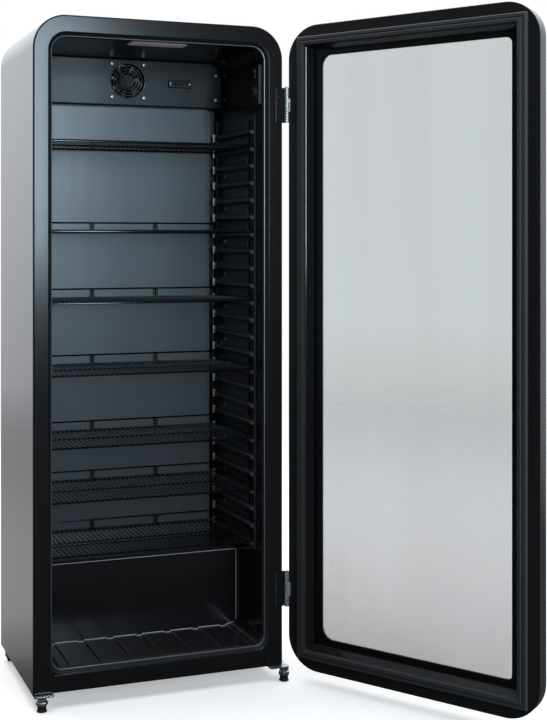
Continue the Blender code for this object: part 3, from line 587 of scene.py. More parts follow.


# edge_sheen sets the strength of each finish's painted highlight on convex edges.
FINISHES = {
    "outer_paint": dict(
        colour=(0.040, 0.039, 0.045), rough=(0.16, 0.02), mottle=(0.05, 9.0), grain=(60.0, 0.000004),
        coat=1.0, edge_sheen=0.25, gloss=1.8,
    ),
    "frame_paint": dict(
        colour=(0.0125, 0.0115, 0.0125), rough=(0.21, 0.02), mottle=(0.12, 9.0), grain=(600.0, 0.000003)
    ),
    "rack_plastic": dict(
        colour=(0.021, 0.021, 0.024), rough=(0.30, 0.04), mottle=(0.12, 9.0), grain=(700.0, 0.000008),
        edge_sheen=0.9, gloss=1.55,
    ),
    # Lighter than frame_paint: partly a rougher metallic finish, partly painted light for the light that
    # falls on the slope.
    "lit_slope_paint": dict(
        colour=(0.056, 0.059, 0.064), rough=(0.42, 0.03), metallic=0.72, mottle=(0.10, 6.0),
        grain=(600.0, 0.000005),
    ),
    "door_gloss": dict(
        colour=(0.012, 0.012, 0.013), rough=(0.16, 0.03), mottle=(0.1, 9.0), grain=(300.0, 0.00001), coat=0.4
    ),
    "liner_plastic": dict(
        colour=(0.0150, 0.0125, 0.0145), rough=(0.22, 0.04), grain=(700.0, 0.000006), edge_sheen=0.6, gloss=1.42
    ),
    "panel_sheet": dict(
        colour=(0.047, 0.051, 0.055), rough=(0.36, 0.04), metallic=0.50, mottle=(0.16, 5.0),
        grain=(800.0, 0.000005), stretch=(3.0, 1.0, 0.35), edge_sheen=0.8, wave=0.004,
    ),
    "cover_sheet": dict(
        colour=(0.040, 0.043, 0.046), rough=(0.37, 0.03), metallic=0.50, mottle=(0.12, 5.0),
        grain=(800.0, 0.000005), stretch=(3.0, 1.0, 0.35), wave=0.014,
    ),
    "foam": dict(colour=(0.70, 0.62, 0.38), rough=(0.9, 0.05), mottle=(0.2, 40.0), grain=(300.0, 0.0008)),
    "galvanised": dict(
        colour=(0.50, 0.52, 0.54), rough=(0.40, 0.12), metallic=1.0, mottle=(0.22, 14.0), cells=70.0
    ),
    "aluminium": dict(
        colour=(0.75, 0.76, 0.78), rough=(0.33, 0.05), metallic=1.0, mottle=(0.08, 9.0),
        grain=(300.0, 0.00002), stretch=(1.0, 1.0, 9.0),
    ),
    "zinc": dict(
        colour=(0.74, 0.75, 0.78), rough=(0.28, 0.14), metallic=0.75, mottle=(0.55, 190.0),
        grain=(420.0, 0.0001), edge_sheen=0.5,
    ),
    "chrome": dict(
        colour=(0.80, 0.80, 0.82), rough=(0.09, 0.02), metallic=1.0, mottle=(0.03, 9.0),
        grain=(200.0, 0.000004),
    ),
    "copper": dict(colour=(0.70, 0.38, 0.24), rough=(0.28, 0.1), metallic=1.0, mottle=(0.25, 60.0)),
    "black_plastic": dict(
        colour=(0.014, 0.014, 0.015), rough=(0.42, 0.05), grain=(1300.0, 0.00003), edge_sheen=0.6
    ),
    "black_wire": dict(
        colour=(0.005, 0.005, 0.006), rough=(0.14, 0.04), mottle=(0.2, 30.0), grain=(350.0, 0.00001)
    ),
    "guard_wire": dict(
        colour=(0.40, 0.42, 0.44), rough=(0.36, 0.05), metallic=0.8, mottle=(0.1, 60.0),
        grain=(400.0, 0.00001),
    ),
    "blade_plastic": dict(colour=(0.006, 0.006, 0.006), rough=(0.40, 0.05), mottle=(0.1, 9.0), gloss=1.35),
    "bright_screw": dict(
        colour=(0.95, 0.96, 0.97), rough=(0.34, 0.05), metallic=0.55, mottle=(0.05, 200.0),
        grain=(500.0, 0.00002),
    ),
    "foot_zinc": dict(
        colour=(0.86, 0.87, 0.90), rough=(0.22, 0.10), metallic=0.92, mottle=(0.5, 260.0),
        grain=(500.0, 0.00006), edge_sheen=0.4,
    ),
    "stop_plastic": dict(colour=(0.66, 0.68, 0.70), rough=(0.42, 0.05), metallic=0.8, mottle=(0.06, 40.0)),
    # Pale plastic for a painted highlight along the hump's edges.
    "highlight_plastic": dict(
        colour=(0.90, 0.93, 0.96), rough=(0.30, 0.05), mottle=(0.2, 120.0), grain=(300.0, 0.0001)
    ),
    # Bright grey metal for painted highlights: thin lines laid where edges catch light.
    "highlight_metal": dict(
        colour=(0.42, 0.43, 0.45), rough=(0.40, 0.05), metallic=0.95, mottle=(0.1, 30.0),
        grain=(500.0, 0.00001),
    ),
    "compressor_paint": dict(
        colour=(0.016, 0.016, 0.017), rough=(0.27, 0.05), mottle=(0.2, 25.0), grain=(260.0, 0.00005), coat=0.2
    ),
    "black_rubber": dict(
        colour=(0.018, 0.018, 0.018), rough=(0.68, 0.05), mottle=(0.25, 60.0), grain=(1500.0, 0.00006)
    ),
    "gasket_rubber": dict(
        colour=(0.044, 0.045, 0.047), rough=(0.42, 0.05), mottle=(0.12, 12.0),
        grain=(1200.0, 0.00003), edge_sheen=0.7,
    ),
    "frit": dict(
        colour=(0.006, 0.008, 0.010), rough=(0.16, 0.05), mottle=(0.1, 9.0), grain=(1500.0, 0.000008)
    ),
    "bright_edge": dict(colour=(0.80, 0.82, 0.83), rough=(0.30, 0.05), metallic=0.6, mottle=(0.06, 9.0)),
}
LOOKS = {name: make_look(name, **finish) for name, finish in FINISHES.items()}
LOOKS["glass"] = make_glass()
LOOKS["lamp_diffuser"] = make_diffuser()


# Cabinet shell.


def make_wrap():
    """Both sides and the top as one bent sheet, its rear edge folded inward."""
    front = 0.0043
    lip = 0.0003
    fold = 0.010
    profile = [(0, front + lip), (lip, front), (SKIN - lip, front), (SKIN, front + lip)]
    profile += [(SKIN, DEPTH - SKIN), (fold, DEPTH - SKIN), (fold, DEPTH), (0.0016, DEPTH)]
    profile += [(0.0005, DEPTH - 0.0004), (0, DEPTH - 0.0016)]
    rows = []
    for inset, y in profile:
        path = arch(HALF - inset, 0, HEIGHT - inset, CORNER - inset)
        rows.append([(u, y, v) for u, v in path])
    piece("wrap_sheet", strip_sweep(rows), "outer_paint", ["outer_wrap"])


def make_front():
    """The front flange with its rounded outer edge and the sloping edge into the food space."""
    sections = []
    thick = 0.0042
    round_edge = 0.0036
    sections.append((outline(HALF, 0, HEIGHT, CORNER, 0.003), thick))
    for i in range(7):
        angle = pi / 2 * i / 6
        inset = round_edge * (1 - cos(angle))
        shape = outline(HALF - inset, inset, HEIGHT - inset, CORNER - inset, 0.003)
        sections.append((shape, round_edge * (1 - sin(angle))))
    for extra, y in ((0.0018, 0.0), (0.0008, 0.0004), (0.0008, thick)):
        sections.append((cavity_outline(FLANGE_EDGE + extra), y))
    notch = box((-CAVITY_HALF, -0.01, -0.01), (CAVITY_HALF, 0.02, 0.040))
    face = boolean(frame_loft(sections), "DIFFERENCE", [notch])
    piece("front_flange", face, "frame_paint", ["front_frame"])

    back = FLANGE_EDGE + 0.0003
    sections = []
    for grow, y in ((0.0096, 0.0006), (0.0020, 0.0076), (0.0006, 0.0088), (0.0001, back), (0.0012, back)):
        sections.append((cavity_outline(grow), y))
    sections.append((cavity_outline(0.0096), 0.0018))
    # The slope gets a lighter look than the flange, partly painted light for the light that falls on it.
    piece("mouth_slope", frame_loft(sections), "lit_slope_paint")
    # Painted highlight: a bright bead round the mouth, where the flange's inner edge catches light.
    loop = [(u, 0.0080, v) for u, v in cavity_outline(0.0012)]
    piece("mouth_highlight_bead", tube(loop, 0.0013, 10, closed=True), "highlight_metal")

    half = CAVITY_HALF - 0.0005
    strip = box((-half, 0.0004, 0.0004), (half, 0.0040, 0.0388), 0.0012, 3)
    piece("kick_panel", strip, "frame_paint", ["kick_strip"])


def floor_outline(bottom, dent, steps=14):
    """The food space's section, its floor dented by channels of the given depth."""
    half = CAVITY_HALF
    points = arc(-half + BOTTOM_RADIUS, bottom + BOTTOM_RADIUS, BOTTOM_RADIUS, 180, 270, steps)
    for middle in CHANNELS:
        points += [(middle - CHANNEL_HALF, bottom), (middle - CHANNEL_FLAT, bottom - dent)]
        points += [(middle + CHANNEL_FLAT, bottom - dent), (middle + CHANNEL_HALF, bottom)]
    points += arc(half - BOTTOM_RADIUS, bottom + BOTTOM_RADIUS, BOTTOM_RADIUS, 270, 360, steps)
    points += arc(half - TOP_RADIUS, CAVITY_CEILING - TOP_RADIUS, TOP_RADIUS, 0, 90, steps)
    return points + arc(-half + TOP_RADIUS, CAVITY_CEILING - TOP_RADIUS, TOP_RADIUS, 90, 180, steps)


def make_liner():
    """The moulded food space: grooved floor, hump over the machine bay and rounded back."""
    mouth = 0.0095
    rows = ((0.0, mouth), (0.0, 0.024), (0.003, 0.030), (0.003, HUMP_FRONT))
    front = frame_loft([(floor_outline(CAVITY_FLOOR, dent), y) for dent, y in rows], ring=False)
    back_radius = 0.010
    above = outline(CAVITY_HALF, HUMP_TOP, CAVITY_CEILING, TOP_RADIUS, 0.004)
    sections = [(above, HUMP_FRONT - 0.020), (above, CAVITY_BACK - back_radius)]
    for i in range(1, 5):
        angle = radians(22.5 * i)
        inset = back_radius * (1 - cos(angle))
        shape = outline(
            CAVITY_HALF - inset, HUMP_TOP + inset, CAVITY_CEILING - inset, TOP_RADIUS - inset, 0.004
        )
        sections.append((shape, CAVITY_BACK - back_radius + back_radius * sin(angle)))
    rear = frame_loft(sections, ring=False)
    bend = 0.007
    round_edge = [(HUMP_FRONT - 0.003, HUMP_TOP - bend), (HUMP_FRONT, HUMP_TOP - bend)]
    round_edge += arc(HUMP_FRONT + bend, HUMP_TOP - bend, bend, 180, 90, 6)
    round_edge += [(HUMP_FRONT + bend, HUMP_TOP + 0.004), (HUMP_FRONT - 0.003, HUMP_TOP + 0.004)]
    shoulder = plate([round_edge], -CAVITY_HALF + 0.0004, CAVITY_HALF - 0.0004, "YZ")
    space = boolean(front, "UNION", [rear, shoulder])
    space.normal_update()
    lid = [f for f in space.faces if f.normal.y < -0.99 and f.calc_center_median().y < mouth + 0.001]
    bmesh.ops.delete(space, geom=lid, context="FACES")
    bmesh.ops.recalc_face_normals(space, faces=space.faces)
    liner = piece("liner_moulding", space, "liner_plastic", ["inner_liner"], sharp=28.0)
    shell = liner.modifiers.new("thickness", "SOLIDIFY")
    shell.thickness = LINER
    shell.offset = 1.0
    make_channel_sheen_lines()
    make_hump_highlight_bead()


def make_channel_sheen_lines():
    """Bright lines along the right-hand edge of every floor channel: a painted highlight."""
    edges = []
    for middle in CHANNELS:
        x = middle + CHANNEL_HALF - 0.0002
        edges.append(tube([(x, 0.034, CAVITY_FLOOR), (x, HUMP_FRONT - 0.004, CAVITY_FLOOR)], 0.0006, 8))
    piece("channel_highlight_lines", edges, "highlight_metal")


def make_hump_highlight_bead():
    """A thin pale bead along the hump's foot, over the channels, up its ends and along its top: a painted
    highlight where the hump's edges catch light.
    """
    radius = 0.0009
    face = HUMP_FRONT - radius
    end = CAVITY_HALF - 0.0030
    top = HUMP_TOP - 0.008
    crest = CAVITY_FLOOR + radius
    dip = CAVITY_FLOOR - 0.0020
    path = [(-end, face, top), (-end, face, CAVITY_FLOOR + 0.006)]
    for middle in CHANNELS:
        path += [(middle - CHANNEL_HALF, face, crest), (middle - 0.0070, face, dip)]
        path += [(middle + 0.0070, face, dip), (middle + CHANNEL_HALF, face, crest)]
    path += [(end, face, CAVITY_FLOOR + 0.006), (end, face, top)]
    seam = [(-end, face, top), (end, face, top)]
    parts = [tube(path, radius, 10), tube(seam, radius * 0.8, 10)]
    piece("hump_edge_highlight", parts, "highlight_plastic")


def make_ladder(side_name, side):
    """A moulded rack with pockets, a pad and a rib at every shelf height, its end rails, stops and screws."""
    wall = CAVITY_HALF - 0.0003
    face = wall - 0.0025
    tip = CAVITY_HALF - RIB_REACH
    low = FIRST_ROW - 0.018
    top = FIRST_ROW + ROW_COUNT * ROW_PITCH
    pockets = []
    for level in ROWS:
        pockets.append(rectangle(0.080, level + 0.003, 0.095, level + 0.0265))
        pockets.append(rectangle(0.067, level + 0.003, 0.073, level + 0.0265))
    sheet = [rectangle(LADDER_FRONT, low, LADDER_BACK, top)] + pockets
    ribs = [plate(sheet, side * face, side * wall, "YZ")]
    for level in ROWS:
        shape = [(face + 0.0005, level), (tip + 0.0008, level), (tip, level - 0.0008), (tip, level - 0.0052)]
        shape += [(tip + 0.0008, level - 0.0066), (face + 0.0005, level - 0.0120)]
        shape = [(side * u, v) for u, v in shape]
        ribs.append(plate([shape], LADDER_FRONT + 0.006, LADDER_BACK - 0.003, "XZ"))
        ends = ((0.101, level + 0.0070), (0.290, level + 0.0225))
        ribs.append(side_box(side, face - 0.0016, face + 0.0005, *ends, 0.0008))
    for near, far, reach in ((LADDER_FRONT, 0.061, 0.0010), (LADDER_BACK - 0.004, LADDER_BACK, 0.0045)):
        ribs.append(side_box(side, face - reach, face + 0.0005, (near, low), (far, top), 0.0008))
    stands_for = [f"ladder_{side_name}"]
    piece(f"rack_{side_name}", ribs, "rack_plastic", stands_for, sharp=25.0)

    clips = []
    for level in ROWS:
        ends = ((SHELF_BACK + 0.0006, level - 0.0110), (SHELF_BACK + 0.0036, level + 0.0080))
        clips.append(side_box(side, tip - 0.0035, tip + 0.0035, *ends, 0.0008))
    piece(f"rack_stops_{side_name}", clips, "stop_plastic")

    places = []
    for level in ROWS[1::2]:
        spot = at(side * (face - 0.0016), 0.242, level + 0.0200)
        places.append(spot @ Matrix.Rotation(radians(-90 * side), 4, "Z"))
    piece(f"rack_screws_{side_name}", copies(screw(0.0036), places), "bright_screw")


def screw(radius):
    """A pan-head screw with a cross recess, its head towards -Y and its seat at y = 0."""
    dome = [(0, 0), (radius, 0), (radius, -0.28 * radius), (0.90 * radius, -0.44 * radius)]
    dome += [(0.55 * radius, -0.54 * radius), (0, -0.58 * radius)]
    head = turned([(r, y) for r, y in dome], axis="Y", steps=20)
    long = 0.45 * radius
    wide = 0.10 * radius
    slots = []
    for turn in (0, 90):
        slot = box((-long, -radius, -wide), (long, -0.30 * radius, wide))
        slots.append(moved(slot, Matrix.Rotation(radians(turn), 4, "Y")))
    return boolean(head, "DIFFERENCE", slots)


def make_duct_panel():
    """The sheet down the back wall, its sides bent back to the wall."""
    half = CAVITY_HALF - 0.025
    front = CAVITY_BACK - 0.014
    back = CAVITY_BACK - 0.0004
    thick = 0.0012
    bend = 0.0026
    path = [(-half, back)] + arc(-half + bend, front + bend, bend, 180, 270, 6)
    path += arc(half - bend, front + bend, bend, 270, 360, 6) + [(half, back)]
    inner = bend - thick
    inside = [(-half + thick, back)] + arc(-half + bend, front + bend, inner, 180, 270, 6)
    inside += arc(half - bend, front + bend, inner, 270, 360, 6) + [(half - thick, back)]
    sheet = plate([path + inside[::-1]], HUMP_TOP + 0.002, COVER_BOTTOM - 0.004, "XY")
    piece("duct_sheet", sheet, "panel_sheet", ["back_duct_panel"])
    # Painted highlights: bright lines down the sheet's bent sides, where they catch light.
    highlight_lines = []
    for x in (0.0012 - half, half - 0.0012):
        line = [(x, front + 0.0003, HUMP_TOP + 0.005), (x, front + 0.0003, COVER_BOTTOM - 0.007)]
        highlight_lines.append(tube(line, 0.0009, 8))
    piece("duct_edge_highlights", highlight_lines, "highlight_metal")


def fan_spot(across, up, y=COVER_FRONT):
    return at(FAN_X + across, y, FAN_Z + up)


def make_fan_cover():
    """The pressed cover with its edges bent back and the fan's opening, its screws and the fan's."""
    half = CAVITY_HALF - 0.0004
    top = CAVITY_CEILING - 0.0004
    radius = TOP_RADIUS - 0.0004
    bend = 0.004
    rows = [(outline(half, COVER_BOTTOM, top, radius, 0.003, 10), COVER_FRONT + 0.012)]
    for i in range(5):
        angle = radians(22.5 * i)
        inset = bend * (1 - cos(angle))
        shape = outline(half - inset, COVER_BOTTOM + inset, top - inset, radius - inset, 0.0065 - inset, 10)
        rows.append((shape, COVER_FRONT + bend * (1 - sin(angle))))
    hole = circle(FAN_X, FAN_Z, FAN_BORE, 64)
    sheet = dish(rows, [hole], 0.0012)
    piece("cover_sheet", sheet, "cover_sheet", ["fan_cover"])
    # Painted highlights: bright lines down the cover's bent sides, where they catch light.
    highlight_lines = []
    for x in (0.0022 - half, half - 0.0022):
        line = [(x, COVER_FRONT + 0.0008, COVER_BOTTOM + 0.005), (x, COVER_FRONT + 0.0008, top - radius)]
        highlight_lines.append(tube(line, 0.0010, 8))
    piece("cover_edge_highlights", highlight_lines, "highlight_metal")

    places = [at(x, COVER_FRONT, z) for x in (-0.239, 0.239) for z in (1.352, 1.414)]
    piece("cover_screws", copies(screw(0.0040), places), "bright_screw")
    reach = FAN_SCREWS / 2
    corners = [(a * reach, b * reach) for a in (-1, 1) for b in (-1, 1)]
    places = [fan_spot(across, up, COVER_FRONT - 0.0024) for across, up in corners]
    piece("fan_screws", copies(screw(0.0046), places), "bright_screw")


def make_fan():
    """The shroud with its motor mount on three struts, the wire guard, and the hub with its blades."""
    half = 0.046
    front = COVER_FRONT + 0.0016
    back = front + 0.025
    square = outline(half, -half, half, 0.006, 0.006, 6)
    body = plate([square, circle(0, 0, FAN_BORE, 64)], front, back, "XZ", 0.0008)
    parts = [body, turned([(0, back - 0.007), (0.019, back - 0.007), (0.019, back), (0, back)], axis="Y")]
    for i in range(3):
        strut = box((-0.002, back - 0.005, 0.010), (0.002, back - 0.001, FAN_BORE + 0.002), 0.0006)
        parts.append(moved(strut, Matrix.Rotation(radians(90 + 120 * i), 4, "Y")))
    housing = moved(join(parts), fan_spot(0, 0, 0))
    piece("fan_shroud", housing, "black_plastic", ["fan_housing"])

    rings = []
    for radius in (0.0440, 0.0365, 0.0292, 0.0218, 0.0120, 0.0065):
        loop = [(u, -0.0031, v) for u, v in circle(0, 0, radius, 64)]
        rings.append(tube(loop, 0.0009, 8, closed=True))
    reach = FAN_SCREWS / 2
    for turn in (45, 135):
        end = reach * 2**0.5 - 0.0040
        spoke = tube([(-end, -0.0014, 0), (end, -0.0014, 0)], 0.0010, 8)
        rings.append(moved(spoke, Matrix.Rotation(radians(turn), 4, "Y")))
    for across in (-reach, reach):
        for up in (-reach, reach):
            loop = [(u, -0.0014, v) for u, v in circle(across, up, 0.0037, 24)]
            rings.append(tube(loop, 0.0010, 8, closed=True))
    guard = moved(join(rings), fan_spot(0, 0))
    piece("finger_guard", guard, "guard_wire", ["fan_guard"])

    hub = [(0, 0.0045), (0.0165, 0.0045), (0.0180, 0.0060), (0.0180, 0.0185), (0, 0.0185)]
    parts = [turned(hub, axis="Y", steps=40)]
    for i in range(BLADES):
        parts.append(moved(fan_blade(), Matrix.Rotation(2 * pi * i / BLADES, 4, "Y")))
    rotor = moved(join(parts), fan_spot(0, 0))
    piece("fan_blades", rotor, "blade_plastic", ["fan_rotor"], "fan_rotor")


def fan_blade():
    """One swept blade: flat sections that untwist from the hub to the tip."""
    middle_y = 0.0115
    loops = []
    for i in range(7):
        share = i / 6
        radius = 0.0165 + 0.0243 * share
        pitch = radians(44 - 20 * share)
        chord = 0.0085 + 0.0040 * share
        sweep = 0.10 * share
        loop = []
        section = [(-1, 0), (-0.5, 0.0008), (0.4, 0.0008), (1, 0), (0.4, -0.0006), (-0.5, -0.0006)]
        for along, thick in section:
            curve = 0.0016 * (1 - along * along)
            u = along * chord * cos(pitch) + (thick + curve) * sin(pitch)
            y = middle_y + along * chord * sin(pitch) * 0.62 - (thick + curve) * cos(pitch)
            angle = u / radius + sweep
            loop.append((radius * sin(angle), y, radius * cos(angle)))
        loops.append(loop)
    return loft(loops)


def make_sensor_cover():
    """A small slotted box on the fan cover."""
    middle = (PROBE_LEFT + PROBE_RIGHT) / 2
    half = (PROBE_RIGHT - PROBE_LEFT) / 2
    face = COVER_FRONT - 0.0065
    steps = ((0, COVER_FRONT - 0.0006), (0, face + 0.0020), (0.0006, face + 0.0006), (0.0020, face))
    rows = []
    for inset, y in steps:
        radius = 0.003 - inset / 2
        shape = outline(half - inset, PROBE_LOW + inset, PROBE_HIGH - inset, radius, radius, 5)
        rows.append((shifted(shape, middle, 0), y))
    slots = []
    for i in range(8):
        left = PROBE_LEFT + 0.0095 + 0.0054 * i
        slots.append(rectangle(left, PROBE_LOW + 0.0045, left + 0.0028, PROBE_HIGH - 0.0045))
    cover = dish(rows, slots, 0.0012)
    piece("probe_cover", cover, "black_plastic", ["sensor_cover"])
    places = [at(PROBE_LEFT + across, face, (PROBE_LOW + PROBE_HIGH) / 2) for across in (0.0048, 0.0552)]
    piece("probe_screws", copies(screw(0.0020), places), "bright_screw")


def make_lamp():
    """The ceiling lamp's tray and its ribbed diffuser."""
    ceiling = CAVITY_CEILING - 0.0003
    base = shifted(outline(0.073, -0.0245, 0.0245, 0.008, 0.008, 8), 0, LAMP_Y)
    tray = plate([base], ceiling - 0.0015, ceiling, "XY", 0.0004, 2)
    piece("lamp_tray", tray, "black_plastic", ["lamp_base"])
    lens = shifted(outline(0.067, -0.0210, 0.0210, 0.009, 0.009, 8), 0, LAMP_Y)
    parts = [plate([lens], ceiling - 0.0034, ceiling - 0.0018, "XY", 0.0006, 3)]
    for i in range(25):
        x = (i - 12) * 0.0051
        ends = [(x, y, ceiling - 0.0031) for y in (LAMP_Y - 0.0175, LAMP_Y + 0.0175)]
        parts.append(tube(ends, 0.0007, 8))
    piece("lamp_cover", parts, "lamp_diffuser", ["lamp_lens"])


def make_controls():
    """The control box on the right wall, its fluted dial with a plain scale, and the rocker."""
    wall = CAVITY_HALF - 0.0003
    face = wall - 0.009
    shape = shifted(outline(0.018, -0.048, 0.048, 0.004, 0.004, 6), CONTROL_Y, CONTROL_Z)
    piece("control_housing", plate([shape], face, wall, "YZ", 0.0016, 3), "black_plastic", ["control_box"])
    flutes = []
    for i in range(72):
        angle = 2 * pi * i / 72
        radius = 0.0122 - (0.0006 if i % 3 == 0 else 0.0)
        flutes.append((radius * cos(angle), radius * sin(angle)))
    dial = plate([flutes], face - 0.0083, face - 0.0003, "YZ", 0.0004)
    pointer = box((face - 0.0089, -0.0008, 0.0030), (face - 0.0080, 0.0008, 0.0112), 0.0003)
    centre = at(0, CONTROL_Y, DIAL_Z)
    knob = moved(join([dial, pointer]), centre)
    piece("dial", knob, "black_plastic", ["thermostat_knob"], "thermostat_knob")
    ticks = []
    for i in range(7):
        tick = box((face - 0.0003, -0.0004, 0.0134), (face + 0.0002, 0.0004, 0.0142 + 0.0003 * i))
        ticks.append(moved(tick, centre @ Matrix.Rotation(radians(-135 + 45 * i), 4, "X")))
    piece("dial_scale", ticks, "bright_edge")
    rocker = [(-0.0105, -0.0030), (0, -0.0022), (0.0105, -0.0050), (0.0105, 0), (-0.0105, 0)]
    rocker = [(face + across - 0.0016, ROCKER_Z + along) for along, across in rocker]
    switch = plate([rocker], CONTROL_Y - 0.006, CONTROL_Y + 0.006, "XZ", 0.0004)
    piece("rocker", switch, "black_plastic", ["light_switch"], "light_switch")


# Shelves.


def shelf_parts():
    """One wire shelf: rim, cross wires, bars from front to back and the raised rear rail."""
    rim = 0.0023
    cross = 0.0018
    bar = 0.0015
    half = SHELF_HALF - rim
    near = rim
    far = SHELF_DEPTH - rim
    loop = shifted(outline(half, 0, far - near, 0.008, 0.008, 5), 0, near)
    parts = [tube([(u, v, rim) for u, v in loop], rim, 10, closed=True)]
    for y in (0.128, far - 0.010):
        parts.append(tube([(-half, y, cross), (half, y, cross)], cross, 8))
    count = 42
    lift = 2 * cross + bar
    for i in range(count):
        x = -half + 0.006 + i * (2 * half - 0.012) / (count - 1)
        path = [(x, near, rim), (x, near + 0.003, lift), (x, far - 0.003, lift), (x, far, rim)]
        parts.append(tube(rounded_path(path, 0.0015, 2), bar, 6))
    rail = 0.0019
    height = 0.0250
    back = far - 0.0005
    ends = half - 0.001
    path = [(-ends, back, rim), (-ends, back, height), (ends, back, height), (ends, back, rim)]
    parts.append(tube(rounded_path(path, 0.008, 6), rail, 10))
    for share in (-1 / 3, 1 / 3):
        middle = share * half
        reach = 0.0029
        front = back - 0.0034
        path = [(middle - reach, front, rim), (middle - reach, front, height)]
        path += [(middle + reach, front, height), (middle + reach, front, rim)]
        parts.append(tube(rounded_path(path, 0.0028, 5), 0.0013, 10))
    return parts


def make_shelves():
    """Seven alike: the first is built as a piece, and the others share its mesh."""
    wires = None
    for number in range(1, 8):
        name = f"shelf_{number}"
        low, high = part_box(name)
        seat = at((low.x + high.x) / 2, low.y, low.z)
        if wires is None:
            wires = piece(f"wire_{name}", shelf_parts(), "black_wire", [name], name, seat).data
            continue
        shelf = bpy.data.objects.new(f"wire_{name}", wires)
        bpy.context.scene.collection.objects.link(shelf)
        shelf.matrix_world = seat
        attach(shelf, name)
        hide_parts(name)


# Door.


def make_door():
    """The skin, pressed round its edge and its window, the inner flange with its reveal, and the seal."""
    straight = DOOR_FRONT + DOOR_ROUND
    lip = 0.0004
    sections = [(door_outline(SKIN), DOOR_INNER), (door_outline(lip), DOOR_INNER)]
    sections.append((door_outline(0), DOOR_INNER - lip))
    steps = 8
    for i in range(steps + 1):
        angle = pi / 2 * i / steps
        sections.append((door_outline(DOOR_ROUND * (1 - cos(angle))), straight - DOOR_ROUND * sin(angle)))
    pocket = OUTER_GLASS - 0.0006
    bend = 0.0012
    inside = WINDOW - SKIN
    sections += [(door_outline(WINDOW - bend, 0.030 + bend), DOOR_FRONT)]
    sections += [(door_outline(WINDOW, 0.030), DOOR_FRONT + bend), (door_outline(WINDOW, 0.030), pocket)]
    sections += [(door_outline(inside, 0.031), pocket), (door_outline(inside, 0.031), DOOR_FRONT + SKIN)]
    radius = DOOR_ROUND - SKIN
    for i in reversed(range(steps + 1)):
        angle = pi / 2 * i / steps
        sections.append((door_outline(DOOR_ROUND - radius * cos(angle)), straight - radius * sin(angle)))
    piece("door_shell", frame_loft(sections), "outer_paint", ["door_skin"], "door")

    thick = 0.0025
    edge = SKIN + 0.0003
    deep = DOOR_INNER - REVEAL_DEPTH
    square = 0.003
    rows = [
        (edge, None, DOOR_INNER - 0.0008),
        (edge + 0.0008, None, DOOR_INNER),
        (REVEAL - 0.0008, square, DOOR_INNER),
        (REVEAL + 0.0003, square, DOOR_INNER - 0.0010),
        (REVEAL_FOOT - 0.0018, square, deep + 0.0016),
        (REVEAL_FOOT, square, deep + 0.0012),
        (REVEAL_FOOT, square, deep),
        (REVEAL_FOOT - thick, square, deep),
        (REVEAL - thick, square, DOOR_INNER - thick),
        (edge, None, DOOR_INNER - thick),
    ]
    flange = frame_loft([(door_outline(inset, corner), y) for inset, corner, y in rows])
    piece("door_flange", flange, "door_gloss", ["door_inner_frame"], "door", sharp=20.0)

    seal = frame_loft([(door_outline(inset, 0), y) for inset, y in gasket_profile()])
    piece("door_seal", seal, "gasket_rubber", ["door_gasket"], "door", sharp=20.0)
    make_glazing_details()
    make_handle()


def gasket_profile():
    """The seal's section: a ribbed low outer band, a groove and a ribbed high inner band."""
    seat = DOOR_INNER + 0.0003
    profile = [(0.0260, seat), (0.0260, -0.0060), (0.0266, -0.0050), (0.0276, -0.0038)]
    for i in range(3):
        start = 0.0282 + 0.0022 * i
        top = -0.0032 + 0.0003 * i
        profile += [(start, top), (start + 0.0014, top + 0.0002), (start + 0.0018, top - 0.0004)]
    profile += [(0.0352, -0.0042), (0.0362, -0.0050), (0.0370, -0.0044), (0.0378, -0.0018)]
    for i in range(3):
        start = 0.0384 + 0.0022 * i
        profile += [(start, -0.0010), (start + 0.0014, -0.0009), (start + 0.0018, -0.0014)]
    return profile + [(0.0452, -0.0012), (0.0460, -0.0017), (0.0465, -0.0030), (0.0465, seat)]


def make_glazing_details():
    """The printed black border on each pane, the outer one edged by a thin bright line."""
    film = 0.0002
    outside = door_outline(GLASS_INSET + 0.001, 0.011)
    inner_back = DOOR_INNER - REVEAL_DEPTH - 0.0003 - PANE
    clear = door_outline(INNER_BORDER, 0.013)
    border = plate([outside, clear], inner_back - film, inner_back, "XZ")
    piece("inner_border", border, "frit", body="door")
    outer_back = OUTER_GLASS + PANE
    clear = door_outline(OUTER_BORDER, 0.027)
    border = plate([outside, clear], outer_back, outer_back + film, "XZ")
    piece("outer_border", border, "frit", body="door")
    line = [door_outline(OUTER_BORDER + 0.0002, 0.027), door_outline(OUTER_BORDER + 0.0016, 0.0256)]
    rim = plate(line, outer_back, outer_back + film, "XZ")
    piece("border_line", rim, "bright_edge", body="door")


def make_handle():
    """A bent bar on two round roses, on the side away from the hinges."""
    x = -DOOR_HALF + HANDLE_INSET
    face = DOOR_FRONT - 0.0003
    grip = DOOR_FRONT - 0.0322
    low, high = HANDLE_ENDS
    path = [(x, face, low), (x, grip, low), (x, grip, high), (x, face, high)]
    parts = [tube(rounded_path(path, 0.018, 10), 0.008, 24)]
    rose = [(0, 0), (0.0125, 0), (0.0125, -0.0025), (0.0105, -0.0045), (0, -0.0045)]
    for z in HANDLE_ENDS:
        parts.append(turned(rose, (x, face, z), "Y", 32))
    piece("handle_bar", parts, "chrome", ["door_handle"], "door")


# Hinges.


def barrel(low, high, radius=KNUCKLE):
    """A knuckle with fine turned grooves."""
    profile = [(0.0021, low), (radius - 0.0004, low), (radius, low + 0.0004)]
    count = int((high - low) / 0.0032)
    pitch = (high - low) / count
    for i in range(1, count):
        z = low + i * pitch
        profile += [(radius, z - 0.0005), (radius - 0.0004, z), (radius, z + 0.0005)]
    profile += [(radius, high - 0.0004), (radius - 0.0004, high), (0.0021, high), (0.0021, low)]
    return turned(profile, (AXIS_X, AXIS_Y, 0), steps=28)


